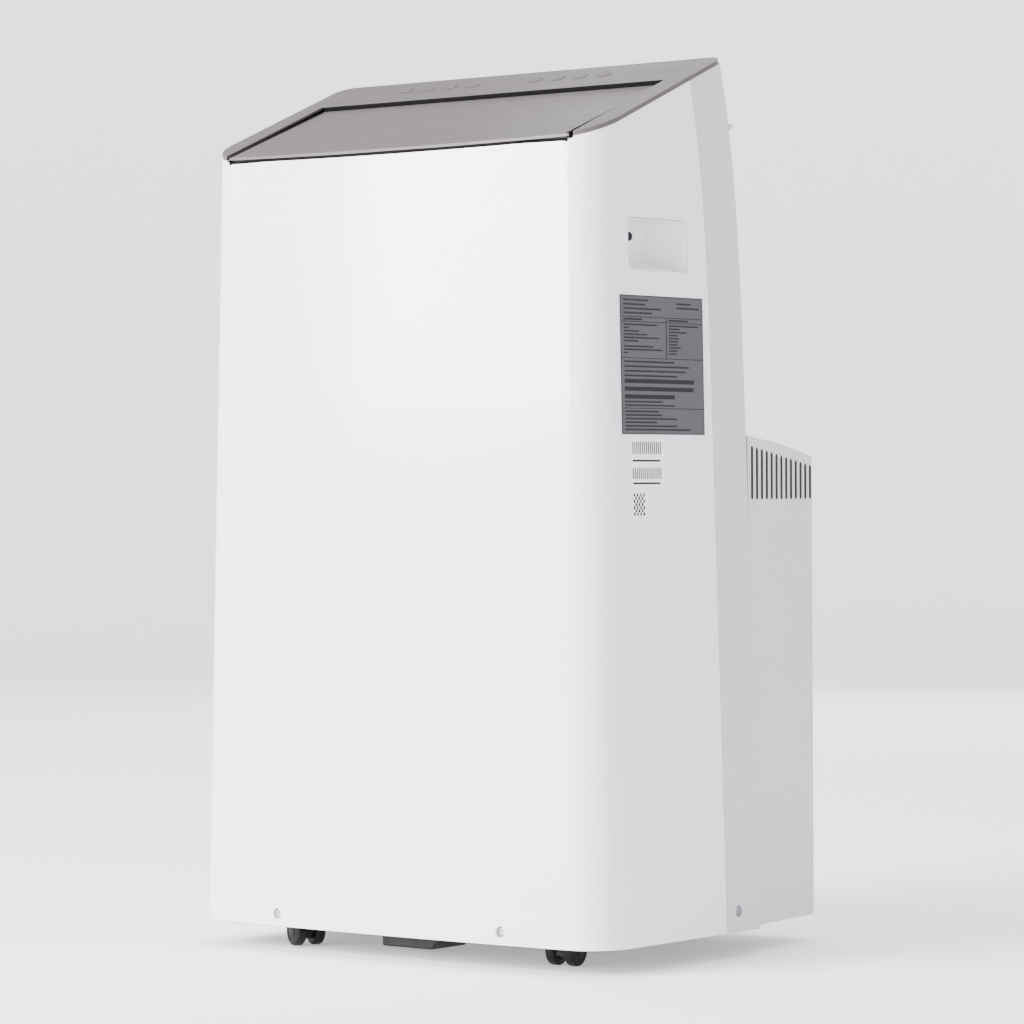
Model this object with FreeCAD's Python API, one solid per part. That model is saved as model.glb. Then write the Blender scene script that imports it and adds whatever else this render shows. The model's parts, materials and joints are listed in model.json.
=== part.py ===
"""Floor-standing portable air conditioner on casters, with its moving parts.

Frame: millimetres, +Z up, the front faces -Y and +X is the viewer's right.
The origin is on the floor under the middle of the bounding box.
"""
import FreeCAD, Part
import math
import os

V = FreeCAD.Vector
os.makedirs("parts", exist_ok=True)

# ---- overall size -----------------------------------------------------------
HEIGHT = 760.0
WIDTH = 450.0
DEPTH = 345.0
HALF_DEPTH = DEPTH / 2
BODY_BOTTOM = 21.6
WALL = 3.0
FIT_GAP = 0.3

# ---- main body: tapered sides, bowed and leaning front ----------------------
SIDE_TAPER = 0.0172
FRONT_LEAN = 0.016
BOW_RADIUS = 3000.0
CORNER_RADIUS = 36.0
LOFT_LOW, LOFT_HIGH = -20.0, 830.0
PLAN_REAR = 95.0
SEAM_SETBACK = 52.0
SEAM_GAP = 0.5
REAR_CORNER = 6.0
REAR_BOTTOM_Y = 59.5
REAR_STRAIGHT = (51.5, 460.0)
REAR_CURVE = [(46.3, 606.0), (36.2, 697.0), (24.5, 753.0), (3.5, 830.0)]
WIDE = 300.0

# ---- sloping top ------------------------------------------------------------
TOP_REAR_Y = 27.0
SLOPE_TAN = 0.4058
SLOPE = math.atan(SLOPE_TAN)
RIM = 3.6
DECK = 10.0
FRAME_REAR_RADIUS = 14.0
LID_HALF = 186.5
LID_GAP = 3.5
LID_REAR_Y = -31.0
LID_THICK = 7.0
LID_SUNK_FRONT = 0.6
LID_SUNK_REAR = 3.4
LID_EDGE = 2.2
LID_FRONT_GAP = 5.4
LID_PIN_R = 2.5
PIN_PLAY = 0.08
HINGE_Y = -36.0
HINGE_DEPTH = LID_SUNK_REAR + LID_THICK / 2 - 0.2

# ---- buttons ----------------------------------------------------------------
BUTTON_R = 6.0
BUTTON_Y = 2.0
BUTTON_PITCH = 25.0
BUTTON_GROUPS = (-116.0, 29.0)
BUTTONS_PER_GROUP = 4
BUTTON_TRAVEL = 1.0

# ---- rear housing -----------------------------------------------------------
HOUSING_ROOT_HALF = 215.7
HOUSING_REAR_HALF = 203.5
HOUSING_BOTTOM = 23.0
HOUSING_TOP = ((59.5, 439.0), (117.0, 432.0), (HALF_DEPTH, 421.4))
HOUSING_CORNER = 8.0
HOUSING_LIMIT = 470.0
HOUSING_FRONT = 40.0
SIDE_SLOTS = 13
SIDE_SLOT_PITCH = 8.65
SIDE_SLOT_WIDTH = 4.6
SIDE_SLOT_FIRST = 60.0
SIDE_SLOT_LOW = 385.6
SIDE_SLOT_MARGIN = 7.5
OUTLET_X, OUTLET_Z, OUTLET_R = 92.0, 336.0, 75.0
COLLAR_WALL = 3.5
COLLAR_LENGTH = 30.0
LOWER_GRILLE = (-178.0, 178.0, 62.0, 236.0)
GRILLE_BAR_PITCH = 11.0
GRILLE_SLOT = 6.5
GRILLE_X = 168.0
GRILLE_Z = (462.0, 692.0)
FILTER_SLOT_Y = (152.0, 160.0)
FILTER_Z = (60.0, 246.0)
PORT_X, PORT_Z = 150.0, 44.0
DRAIN_R = 9.0
DRAIN_BORE = 5.5
GLAND_R = 12.0

# ---- handle recesses --------------------------------------------------------
HANDLE_Y = (-114.0, -31.0)
HANDLE_Z = (575.0, 618.0)
HANDLE_CORNER = 6.0
HANDLE_DEPTH = 27.0
CUP_WALL = 2.2

# ---- casters ----------------------------------------------------------------
WHEEL_R = 13.0
WHEEL_WIDTH = 9.0
WHEEL_GAP = 9.0
CASTER_TRAIL = 10.0
CASTER_FRONT_X, CASTER_REAR_X = 142.5, 92.0
CASTER_FRONT_Y, CASTER_REAR_Y = -116.0, 122.0
STEM_R = 4.0
AXLE_R = 2.0
WELL_R = 30.0
WELL_ROOF = 30.0
CASTERS = {
    "front_left": (-CASTER_FRONT_X, CASTER_FRONT_Y, -23.6),
    "front_right": (CASTER_FRONT_X, CASTER_FRONT_Y, 95.2),
    "rear_left": (-CASTER_REAR_X, CASTER_REAR_Y, 80.0),
    "rear_right": (CASTER_REAR_X, CASTER_REAR_Y, 104.0),
}

# ---- base pan ---------------------------------------------------------------
PAN_BOTTOM = 20.1
PAN_FLOOR = 4.0
PAN_SETBACK = 7.5
PAN_HEIGHT = 40.0
PAN_STEP_Y = 56.0
PAN_REAR_RISE = 2.5

# ---- fans -------------------------------------------------------------------
UPPER_FAN = (0.0, -72.0, 560.0)
UPPER_FAN_R = 88.0
UPPER_FAN_WIDTH = 56.0
LOWER_FAN = (66.0, 48.0, 165.0)
LOWER_FAN_R = 82.0
LOWER_FAN_WIDTH = 46.0
SHAFT_R = 4.0
BLADES = 24
SCROLL_GAP = 9.0
SCROLL_WALL = 2.0

# ---- top vanes --------------------------------------------------------------
VANES = 6
VANE_PITCH = 60.0
VANE_Y = -80.0
VANE_CHORD = 46.0
VANE_THICK = 2.0
VANE_PIN_R = 1.6
VANE_ARM = 16.0
THROAT_HALF = 182.0
THROAT_Y = (-126.0, -42.0)
THROAT_LOW = 672.0
THROAT_TOP = LID_SUNK_REAR + LID_THICK + 1.6
NECK_HALF = 97.0


# ---- helpers ----------------------------------------------------------------
def box(x0, x1, y0, y1, z0, z1):
    return Part.makeBox(x1 - x0, y1 - y0, z1 - z0, V(x0, y0, z0))


def rod(start, direction, radius, length):
    return Part.makeCylinder(radius, length, V(*start), V(*direction))


def fuse(shapes):
    shapes = list(shapes)
    whole = shapes[0]
    if len(shapes) > 1:
        whole = whole.fuse(shapes[1:])
    return whole.removeSplitter()


def prism(points, direction):
    """Solid made by pushing a closed outline of straight edges along a vector."""
    wire = Part.makePolygon([V(*p) for p in points] + [V(*points[0])])
    return Part.Face(wire).extrude(V(*direction))


def prism_x(outline, x0, x1):
    """Outline given as (y, z) points, pushed along X."""
    return prism([(x0, y, z) for y, z in outline], (x1 - x0, 0, 0))


def rounded_x(y0, y1, z0, z1, radius, x0, x1):
    """Rounded rectangle in YZ, pushed along X."""
    block = box(x0, x1, y0, y1, z0, z1)
    corners = [e for e in block.Edges if abs(e.tangentAt(e.FirstParameter).x) > 0.9]
    return block.makeFillet(radius, corners)


def slot_x(y, z0, z1, width, x0, x1):
    """Vertical slot with round ends, pushed along X."""
    half = width / 2
    ends = [rod((x0, y, z), (1, 0, 0), half, x1 - x0) for z in (z0 + half, z1 - half)]
    return fuse([box(x0, x1, y - half, y + half, z0 + half, z1 - half)] + ends)


def slot_y(x0, x1, z, width, y0, y1):
    """Level slot with round ends, pushed along Y."""
    half = width / 2
    ends = [rod((x, y0, z), (0, 1, 0), half, y1 - y0) for x in (x0 + half, x1 - half)]
    return fuse([box(x0 + half, x1 - half, y0, y1, z - half, z + half)] + ends)


def save(node, shape):
    if not shape.isValid():
        print("INVALID", node)
    print(node, len(shape.Solids), round(shape.Volume / 1000.0, 1))
    shape.exportStep("parts/" + node + ".step")


# ---- body envelope ----------------------------------------------------------
def plan_wire(z, inset):
    """Plan outline at height z: straight sides, round corners, bowed front."""
    half = WIDTH / 2 - SIDE_TAPER * (z - BODY_BOTTOM) - inset
    apex = -HALF_DEPTH + FRONT_LEAN * (z - BODY_BOTTOM) + inset
    bow = BOW_RADIUS - inset
    corner = CORNER_RADIUS - inset
    bow_centre = apex + bow
    corner_x = half - corner
    corner_y = bow_centre - math.sqrt((bow - corner) ** 2 - corner_x ** 2)
    lean = math.atan2(corner_x, bow_centre - corner_y)
    touch = (bow * math.sin(lean), bow_centre - bow * math.cos(lean))
    mid_angle = (lean + math.pi / 2) / 2
    mid = (corner_x + corner * math.sin(mid_angle), corner_y - corner * math.cos(mid_angle))

    def at(x, y):
        return V(x, y, z)

    edges = [
        Part.LineSegment(at(half, PLAN_REAR), at(half, corner_y)),
        Part.Arc(at(half, corner_y), at(*mid), at(*touch)),
        Part.Arc(at(*touch), at(0, apex), at(-touch[0], touch[1])),
        Part.Arc(at(-touch[0], touch[1]), at(-mid[0], mid[1]), at(-half, corner_y)),
        Part.LineSegment(at(-half, corner_y), at(-half, PLAN_REAR)),
        Part.LineSegment(at(-half, PLAN_REAR), at(half, PLAN_REAR)),
    ]
    return Part.Wire([e.toShape() for e in edges])


def body_loft(inset):
    return Part.makeLoft([plan_wire(LOFT_LOW, inset), plan_wire(LOFT_HIGH, inset)], True, True)


def behind_rear(shift):
    """Everything behind the rear profile moved back by shift."""
    y_end, z_end = REAR_STRAIGHT
    lean = (REAR_BOTTOM_Y - y_end) / (z_end - BODY_BOTTOM)
    y_low = REAR_BOTTOM_Y + lean * (BODY_BOTTOM - LOFT_LOW)
    curve = Part.BSplineCurve()
    points = [V(-WIDE, y + shift, z) for y, z in [REAR_STRAIGHT] + REAR_CURVE]
    curve.interpolate(Points=points, InitialTangent=V(0, -lean, 1), FinalTangent=V(0, -0.3, 1))
    start = V(-WIDE, y_low + shift, LOFT_LOW)
    back_low = V(-WIDE, WIDE, LOFT_LOW)
    back_high = V(-WIDE, WIDE, LOFT_HIGH)
    edges = [
        Part.LineSegment(start, points[0]).toShape(),
        curve.toShape(),
        Part.LineSegment(points[-1], back_high).toShape(),
        Part.LineSegment(back_high, back_low).toShape(),
        Part.LineSegment(back_low, start).toShape(),
    ]
    return Part.Face(Part.Wire(edges)).extrude(V(2 * WIDE, 0, 0))


def slope_z(y, depth=0.0):
    """Height of the sloping top at y, lowered by depth measured square to it."""
    return HEIGHT - SLOPE_TAN * (TOP_REAR_Y - y) - depth / math.cos(SLOPE)


def above_slope(depth):
    y0, y1 = -WIDE, WIDE
    outline = [(y0, slope_z(y0, depth)), (y1, slope_z(y1, depth)), (y1, 2 * HEIGHT), (y0, 2 * HEIGHT)]
    return prism_x(outline, -WIDE, WIDE)


def slope_slab(top, bottom, x0, x1, y0, y1):
    """Slab between two depths under the slope, cut square to the slope at y0 and y1."""
    def corner(y, depth):
        return (y + depth * math.sin(SLOPE), slope_z(y) - depth * math.cos(SLOPE))

    outline = [corner(y0, top), corner(y1, top), corner(y1, bottom), corner(y0, bottom)]
    return prism_x(outline, x0, x1)


SLOPE_NORMAL = (0.0, -math.sin(SLOPE), math.cos(SLOPE))
SLOPE_IN = (0.0, math.sin(SLOPE), -math.cos(SLOPE))


def on_slope(x, y, depth=0.0):
    return (x, y + depth * math.sin(SLOPE), slope_z(y) - depth * math.cos(SLOPE))


OUTER = body_loft(0.0)
INNER = body_loft(WALL)


# ---- shells -----------------------------------------------------------------
def screw_pocket(shell, x, y, z, inward):
    """Adds a countersunk screw pocket that opens on the outer face."""
    start = V(x, y, z) - V(*inward) * 4.0
    cup = Part.makeCylinder(7.0, 10.6, start, V(*inward)).common(OUTER)
    bore = Part.makeCylinder(4.8, 8.5, start, V(*inward))
    hole = Part.makeCylinder(2.2, 30.0, start, V(*inward))
    return shell.fuse(cup).cut([bore, hole])


def front_face_y(x, z):
    apex = -HALF_DEPTH + FRONT_LEAN * (z - BODY_BOTTOM)
    return apex + BOW_RADIUS - math.sqrt(BOW_RADIUS ** 2 - x ** 2)


def side_face_x(z):
    return WIDTH / 2 - SIDE_TAPER * (z - BODY_BOTTOM)


FRONT_SCREW = (122.4, 32.3)
SIDE_SCREW = (24.7, 39.2)


def front_shell():
    block = OUTER.cut([behind_rear(-SEAM_SETBACK), above_slope(RIM),
                       box(-WIDE, WIDE, -WIDE, WIDE, -50, BODY_BOTTOM)])
    lid_zone = slope_slab(-30, LID_FRONT_GAP, -LID_HALF - LID_GAP, LID_HALF + LID_GAP, -WIDE, -100)
    shell = block.cut([INNER, lid_zone])
    for side in (-1, 1):
        shell = shell.cut(rounded_x(*HANDLE_Y, *HANDLE_Z, HANDLE_CORNER, *sorted((side * 150, side * WIDE))))
        x, z = side * FRONT_SCREW[0], FRONT_SCREW[1]
        shell = screw_pocket(shell, x, front_face_y(x, z), z, (0, 1, 0))
    return shell.removeSplitter()


def rear_cover():
    """Upper back and full-height side strips, open below for the rear housing."""
    block = OUTER.cut([behind_rear(0.0), above_slope(RIM),
                       box(-WIDE, WIDE, -WIDE, WIDE, -50, BODY_BOTTOM)])
    corners = [e for e in block.Edges if e.BoundBox.ZLength > 200 and e.CenterOfMass.y > 0]
    block = block.makeFillet(REAR_CORNER, corners).common(behind_rear(-SEAM_SETBACK + SEAM_GAP))
    hollow = INNER.cut(behind_rear(-WALL))
    cover = block.cut(hollow)
    low_half = HOUSING_ROOT_HALF - 2.5
    low = box(-low_half, low_half, 30, 90, -50, 430)
    window = box(-GRILLE_X, GRILLE_X, 20, 90, *GRILLE_Z)
    cover = cover.cut([low, window])
    for side in (-1, 1):
        y, z = SIDE_SCREW
        cover = screw_pocket(cover, side * side_face_x(z), y, z, (-side, 0, 0))
        strip = rod((side * side_face_x(701) + side * 0.6, 34.0, 701.0), (-side, 0, 0), 2.2, 5.0)
        cover = cover.fuse(strip)
    return cover.removeSplitter()


def upper_intake_grille():
    """Curved louvred panel that fills the window in the rear cover."""
    gap = 0.5
    skin = behind_rear(-WALL).cut(behind_rear(0.0))
    panel = skin.common(box(-GRILLE_X + gap, GRILLE_X - gap, 10, 90,
                            GRILLE_Z[0] + gap, GRILLE_Z[1] - 3 * gap))
    slots = []
    rows = int((GRILLE_Z[1] - GRILLE_Z[0] - 24) / GRILLE_BAR_PITCH)
    columns = 4
    cell = (2 * GRILLE_X - 20) / columns
    for row in range(rows):
        z = GRILLE_Z[0] + 18 + row * GRILLE_BAR_PITCH
        for column in range(columns):
            x0 = -GRILLE_X + 10 + column * cell + 3
            slots.append(slot_y(x0, x0 + cell - 6, z, GRILLE_SLOT, 10, 90))
    return panel.cut(slots)


# ---- rear housing -----------------------------------------------------------
def housing_block(inset, y_front, y_rear, z0, z1):
    """Upright block that narrows to the rear; y_rear is already inset."""
    slope = (HOUSING_ROOT_HALF - HOUSING_REAR_HALF) / (HALF_DEPTH - REAR_BOTTOM_Y)

    def half(y):
        return HOUSING_ROOT_HALF - slope * (y - REAR_BOTTOM_Y) - inset

    plan = [(half(y_front), y_front, z0), (half(y_rear), y_rear, z0),
            (-half(y_rear), y_rear, z0), (-half(y_front), y_front, z0)]
    block = prism(plan, (0, 0, z1 - z0))
    edges = [e for e in block.Edges
             if abs(e.CenterOfMass.y - y_rear) < 0.01 and abs(e.tangentAt(e.FirstParameter).z) > 0.9]
    return block.makeFillet(max(HOUSING_CORNER - inset, 2.0), edges)


def over_roof(drop):
    """Everything above the gently rounded roof of the rear housing."""
    a, b, c = [V(-WIDE, y, z - drop) for y, z in HOUSING_TOP]
    slope_out = (c.z - b.z) / (c.y - b.y)
    front = V(-WIDE, 0, a.z + 8.0)
    rear = V(-WIDE, WIDE, c.z + slope_out * (WIDE - c.y))
    high_rear, high_front = V(-WIDE, WIDE, HEIGHT), V(-WIDE, 0, HEIGHT)
    edges = [Part.LineSegment(front, a).toShape(), Part.Arc(a, b, c).toShape(),
             Part.LineSegment(c, rear).toShape(), Part.LineSegment(rear, high_rear).toShape(),
             Part.LineSegment(high_rear, high_front).toShape(),
             Part.LineSegment(high_front, front).toShape()]
    return Part.Face(Part.Wire(edges)).extrude(V(2 * WIDE, 0, 0))


def roof_z(y):
    (y0, z0), _, (y1, z1) = HOUSING_TOP
    return z0 + (z1 - z0) * (y - y0) / (y1 - y0)


def rear_housing():
    block = housing_block(0.0, HOUSING_FRONT, HALF_DEPTH, HOUSING_BOTTOM, HOUSING_LIMIT).cut(over_roof(0.0))
    inside = housing_block(WALL, 0.0, HALF_DEPTH - WALL, -50, HOUSING_LIMIT).cut(over_roof(WALL))
    shell = block.cut(inside).common(behind_rear(0.1))
    tools = [rod((OUTLET_X, 150, OUTLET_Z), (0, 1, 0), OUTLET_R + COLLAR_WALL + 0.2, 60)]
    for i in range(SIDE_SLOTS):
        y = SIDE_SLOT_FIRST + i * SIDE_SLOT_PITCH
        top = roof_z(y) - SIDE_SLOT_MARGIN
        tools.append(slot_x(y, SIDE_SLOT_LOW, top, SIDE_SLOT_WIDTH, -WIDE, WIDE))
    x0, x1, z0, z1 = LOWER_GRILLE
    columns = 4
    cell = (x1 - x0) / columns
    rows = int((z1 - z0) / GRILLE_BAR_PITCH)
    for row in range(rows):
        z = z0 + (row + 0.5) * GRILLE_BAR_PITCH
        for column in range(columns):
            left = x0 + column * cell + 3
            tools.append(slot_y(left, left + cell - 6, z, GRILLE_SLOT, 160, 200))
    tools.append(box(-WIDE, -150, FILTER_SLOT_Y[0], FILTER_SLOT_Y[1], *FILTER_Z))
    tools.append(rod((-PORT_X, 160, PORT_Z), (0, 1, 0), GLAND_R + 0.3, 30))
    tools.append(rod((PORT_X, 160, PORT_Z), (0, 1, 0), DRAIN_R + 0.2, 30))
    return shell.cut(tools)


def exhaust_collar():
    """Round socket for the exhaust hose adapter, flush with the rear face."""
    y0 = HALF_DEPTH - COLLAR_LENGTH
    tube = rod((OUTLET_X, y0, OUTLET_Z), (0, 1, 0), OUTLET_R + COLLAR_WALL, COLLAR_LENGTH)
    flange = rod((OUTLET_X, HALF_DEPTH - WALL - 3.2, OUTLET_Z), (0, 1, 0), OUTLET_R + 7, 3.0)
    bore = rod((OUTLET_X, y0 - 1, OUTLET_Z), (0, 1, 0), OUTLET_R, COLLAR_LENGTH + 2)
    return tube.fuse(flange).cut(bore).removeSplitter()


def exhaust_guard():
    """Finger guard of crossed bars in front of the duct mouth."""
    y0 = HALF_DEPTH - COLLAR_LENGTH - 3.2
    ring = rod((OUTLET_X, y0, OUTLET_Z), (0, 1, 0), OUTLET_R + COLLAR_WALL, 3.0)
    ring = ring.cut(rod((OUTLET_X, y0 - 1, OUTLET_Z), (0, 1, 0), OUTLET_R - 2, 5))
    bars = []
    for k in range(-2, 3):
        shift = k * 25.0
        reach = math.sqrt((OUTLET_R - 1) ** 2 - shift ** 2)
        bars.append(box(OUTLET_X + shift - 1.2, OUTLET_X + shift + 1.2, y0, y0 + 3,
                        OUTLET_Z - reach, OUTLET_Z + reach))
        bars.append(box(OUTLET_X - reach, OUTLET_X + reach, y0, y0 + 3,
                        OUTLET_Z + shift - 1.2, OUTLET_Z + shift + 1.2))
    return fuse([ring] + bars)


# ---- top --------------------------------------------------------------------
def lid_opening():
    return slope_slab(-30, 60, -LID_HALF - LID_GAP, LID_HALF + LID_GAP, -WIDE, LID_REAR_Y + LID_GAP)


def rear_corner_waste(side):
    """What rounding the frame's rear corner takes away."""
    x = side * (side_face_x(HEIGHT - RIM) - FRAME_REAR_RADIUS)
    y = TOP_REAR_Y - FRAME_REAR_RADIUS
    block = box(*sorted((x, x + side * 2 * FRAME_REAR_RADIUS)),
                y, y + 2 * FRAME_REAR_RADIUS, HEIGHT - 40, HEIGHT + 20)
    return block.cut(rod((x, y, HEIGHT - 50), (0, 0, 1), FRAME_REAR_RADIUS, 90))


def top_frame():
    """U-shaped top: thin rim over the shell and a deck that drops inside it."""
    rear = box(-WIDE, WIDE, TOP_REAR_Y, WIDE, 0, 2 * HEIGHT)
    rim = OUTER.common(slope_slab(0, RIM - 0.2, -WIDE, WIDE, -WIDE, WIDE)).cut(rear)
    rim = rim.cut([rear_corner_waste(side) for side in (-1, 1)])
    nest = body_loft(WALL + FIT_GAP).common(slope_slab(RIM - 0.3, DECK, -WIDE, WIDE, -WIDE, WIDE))
    nest = nest.cut(behind_rear(-WALL - FIT_GAP - 1.0))
    frame = rim.fuse(nest).cut(lid_opening())
    tools = []
    for x in button_places():
        tools.append(rod(on_slope(x, BUTTON_Y, -5), SLOPE_IN, BUTTON_R + 0.3, 30))
    hinge = on_slope(0, HINGE_Y, HINGE_DEPTH)
    length = 2 * (LID_HALF + LID_GAP + 8)
    tools.append(rod((-length / 2, hinge[1], hinge[2]), (1, 0, 0), LID_PIN_R + PIN_PLAY, length))
    return frame.cut(tools).removeSplitter()


def lid_slab(top, bottom):
    """Slab that sinks a little toward the hinge, between two depths in the lid."""
    front_y, rear_y = -WIDE, LID_REAR_Y
    sink = (LID_SUNK_REAR - LID_SUNK_FRONT) / (LID_REAR_Y + HALF_DEPTH)

    def corner(y, depth):
        sunk = LID_SUNK_REAR + sink * (y - LID_REAR_Y) + depth
        return (y + sunk * math.sin(SLOPE), slope_z(y) - sunk * math.cos(SLOPE))

    outline = [corner(front_y, top), corner(rear_y, top), corner(rear_y, bottom), corner(front_y, bottom)]
    return prism_x(outline, -LID_HALF, LID_HALF)


def louvre_flap():
    """Outlet lid: thin front lip, hinged near its rear edge, its front edge rises."""
    lip = OUTER.common(lid_slab(0.0, LID_EDGE))
    body = body_loft(WALL + 1.5).common(lid_slab(LID_EDGE - 0.1, LID_THICK))
    lid = lip.fuse(body)
    hinge = on_slope(0, HINGE_Y, HINGE_DEPTH)
    length = 2 * (LID_HALF + LID_GAP + 7)
    pin = rod((-length / 2, hinge[1], hinge[2]), (1, 0, 0), LID_PIN_R, length)
    return lid.fuse(pin).removeSplitter()


def button_places():
    return [start + i * BUTTON_PITCH for start in BUTTON_GROUPS for i in range(BUTTONS_PER_GROUP)]


def button(x):
    cap = rod(on_slope(x, BUTTON_Y, -0.3), SLOPE_IN, BUTTON_R, 5.0)
    flange = rod(on_slope(x, BUTTON_Y, DECK + 0.2), SLOPE_IN, BUTTON_R + 1.2, 1.2)
    stem = rod(on_slope(x, BUTTON_Y, 4.0), SLOPE_IN, 3.0, DECK + 2.0 - 4.0)
    return fuse([cap, stem, flange])


BOARD_DEPTH = DECK + 4.0


def control_board():
    x0, x1 = BUTTON_GROUPS[0] - 16, BUTTON_GROUPS[1] + 3 * BUTTON_PITCH + 16
    return slope_slab(BOARD_DEPTH, BOARD_DEPTH + 1.6, x0, x1, BUTTON_Y - 16, BUTTON_Y + 12)


def outlet_throat():
    """Rectangular duct under the lid with a bar that carries the vane pins."""
    y0, y1 = THROAT_Y
    half = THROAT_HALF
    outer = box(-half - 2.5, half + 2.5, y0 - 2.5, y1 + 2.5, THROAT_LOW, HEIGHT)
    outer = outer.cut(above_slope(THROAT_TOP))
    inner = box(-half, half, y0, y1, THROAT_LOW - 1, HEIGHT)
    bar = box(-half - 1, half + 1, VANE_Y - 5, VANE_Y + 5, THROAT_LOW, THROAT_LOW + 5)
    floor = box(-half - 1, half + 1, y0 - 1, y1 + 1, THROAT_LOW, THROAT_LOW + 2)
    floor = floor.cut(box(-NECK_HALF, NECK_HALF, y0 - 2, y1 + 2, THROAT_LOW - 1, THROAT_LOW + 4))
    throat = fuse([outer.cut(inner), bar, floor])
    pins = [rod((x, VANE_Y, THROAT_LOW - 1), (0, 0, 1), VANE_PIN_R + PIN_PLAY, 7) for x in vane_places()]
    return throat.cut(pins)


def vane_places():
    return [(i - (VANES - 1) / 2) * VANE_PITCH for i in range(VANES)]


LINK_Y = VANE_Y + VANE_ARM
LINK_Z = THROAT_LOW + 8.0


def vane(x):
    """Upright blade that turns on a pin at its foot; a small peg takes the link."""
    y0, y1 = VANE_Y - VANE_CHORD / 2, VANE_Y + VANE_CHORD / 2
    low = THROAT_LOW + 12.0
    top0, top1 = slope_z(y0, THROAT_TOP + 3), slope_z(y1, THROAT_TOP + 3)
    outline = [(y0, low), (y1, low), (y1, top1), (y0, top0)]
    blade = prism_x(outline, x - VANE_THICK / 2, x + VANE_THICK / 2)
    hub = rod((x, VANE_Y, THROAT_LOW + 5.3), (0, 0, 1), 3.5, 7.2)
    pin = rod((x, VANE_Y, THROAT_LOW + 0.3), (0, 0, 1), VANE_PIN_R, 6.0)
    peg = rod((x, LINK_Y, LINK_Z - 3.0), (0, 0, 1), 1.4, 8.0)
    return fuse([blade, hub, pin, peg])


def vane_link():
    """Flat bar that ties the vanes; its slots take the pegs as they swing."""
    places = vane_places()
    bar = box(places[0] - 10, places[-1] + 10, LINK_Y - 6.5, LINK_Y + 4.5, LINK_Z, LINK_Z + 2)
    slots = []
    for x in places:
        slots.append(slot_link(x))
    return bar.cut(slots)


def slot_link(x):
    half = 1.4 + 0.7
    low, high = LINK_Z - 1, LINK_Z + 3
    ends = [rod((x, y, low), (0, 0, 1), half, high - low) for y in (LINK_Y - 3.0, LINK_Y + 0.6)]
    return fuse([box(x - half, x + half, LINK_Y - 3.0, LINK_Y + 0.6, low, high)] + ends)


# ---- handles ----------------------------------------------------------------
def handle_cup(side):
    """Finger recess behind the opening: the floor and rear wall slope inward."""
    y0, y1 = HANDLE_Y[0] + 0.4, HANDLE_Y[1] - 0.4
    z0, z1 = HANDLE_Z[0] + 0.4, HANDLE_Z[1] - 0.4
    mouth_x = side_face_x((z0 + z1) / 2) - 0.6
    back_x = mouth_x - HANDLE_DEPTH

    def frustum(grow, front, back, rise):
        def ring(x, a0, a1, b0, b1):
            return Part.makePolygon([V(x, a0, b0), V(x, a1, b0), V(x, a1, b1), V(x, a0, b1), V(x, a0, b0)])
        mouth = ring(front, y0 - grow, y1 + grow, z0 - grow, z1 + grow)
        deep = ring(back, y0 - grow + 2, y1 + grow - 24, z0 - grow + 9, z1 + grow + rise)
        return Part.makeLoft([mouth, deep], True, True)

    cup = frustum(CUP_WALL, mouth_x - WALL - 0.2, back_x - CUP_WALL, 0.0)
    lip = body_loft(WALL + 0.1).cut(body_loft(WALL + 2.1))
    lip = lip.common(rounded_x(y0 - 10, y1 + 10, z0 - 9, z1 + 9, 8, 150, WIDE))
    liner = rounded_x(y0, y1, z0, z1, HANDLE_CORNER - 0.4, mouth_x - 8, mouth_x + 2).common(body_loft(0.4))
    whole = cup.fuse([lip, liner]).cut([frustum(0.0 - 0.01, mouth_x + 2.2, back_x, 0.0)])
    whole = whole.common(body_loft(0.4)).removeSplitter()
    return whole if side > 0 else whole.mirror(V(0, 0, 0), V(1, 0, 0))


# ---- base -------------------------------------------------------------------
def pan_outline(inset, z0, z1):
    """Footprint of the pan; the part inside the rear housing sits a little higher."""
    main = body_loft(PAN_SETBACK + inset).common(box(-WIDE, WIDE, -WIDE, PAN_STEP_Y - inset, z0, z1))
    tongue = housing_block(WALL + 1.5 + inset, 20.0, HALF_DEPTH - WALL - 2.0 - inset, z0 + PAN_REAR_RISE, z1)
    return main.fuse(tongue).removeSplitter()


def base_pan():
    pan = pan_outline(0.0, PAN_BOTTOM, PAN_HEIGHT).cut(pan_outline(3.0, PAN_BOTTOM + PAN_FLOOR, 80))
    adds, cuts = [], []
    for x, y, _ in CASTERS.values():
        low = PAN_BOTTOM if y < PAN_STEP_Y else PAN_BOTTOM + PAN_REAR_RISE
        adds.append(rod((x, y, low), (0, 0, 1), WELL_R + 2.5, WELL_ROOF + 3 - low))
        adds.append(rod((x, y, WELL_ROOF), (0, 0, 1), 9.0, 26))
        cuts.append(rod((x, y, 0), (0, 0, 1), WELL_R, WELL_ROOF))
        cuts.append(rod((x, y, 0), (0, 0, 1), STEM_R + PIN_PLAY, WELL_ROOF + 20))
    for side in (-1, 1):
        x, z = side * FRONT_SCREW[0], FRONT_SCREW[1]
        cuts.append(rod((x, -HALF_DEPTH - 5, z), (0, 1, 0), 1.8, 30))
        cuts.append(rod((side * 205, *SIDE_SCREW), (side, 0, 0), 1.9, 20))
        cuts.append(rod((side * PORT_X, 150, PORT_Z), (0, 1, 0), GLAND_R + 3.4, 30))
    return pan.fuse(adds).cut(cuts).removeSplitter()


def skid_foot():
    """Drain sump block that hangs under the base between the front casters."""
    outline = [(-53.0, 4.0), (1.0, 4.0), (13.0, PAN_BOTTOM - 0.05), (-53.0, PAN_BOTTOM - 0.05)]
    block = prism([(x, -112.0, z) for x, z in outline], (0, 46.0, 0))
    return block.makeFillet(1.5, [e for e in block.Edges if e.CenterOfMass.z < 5.0])


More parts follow.
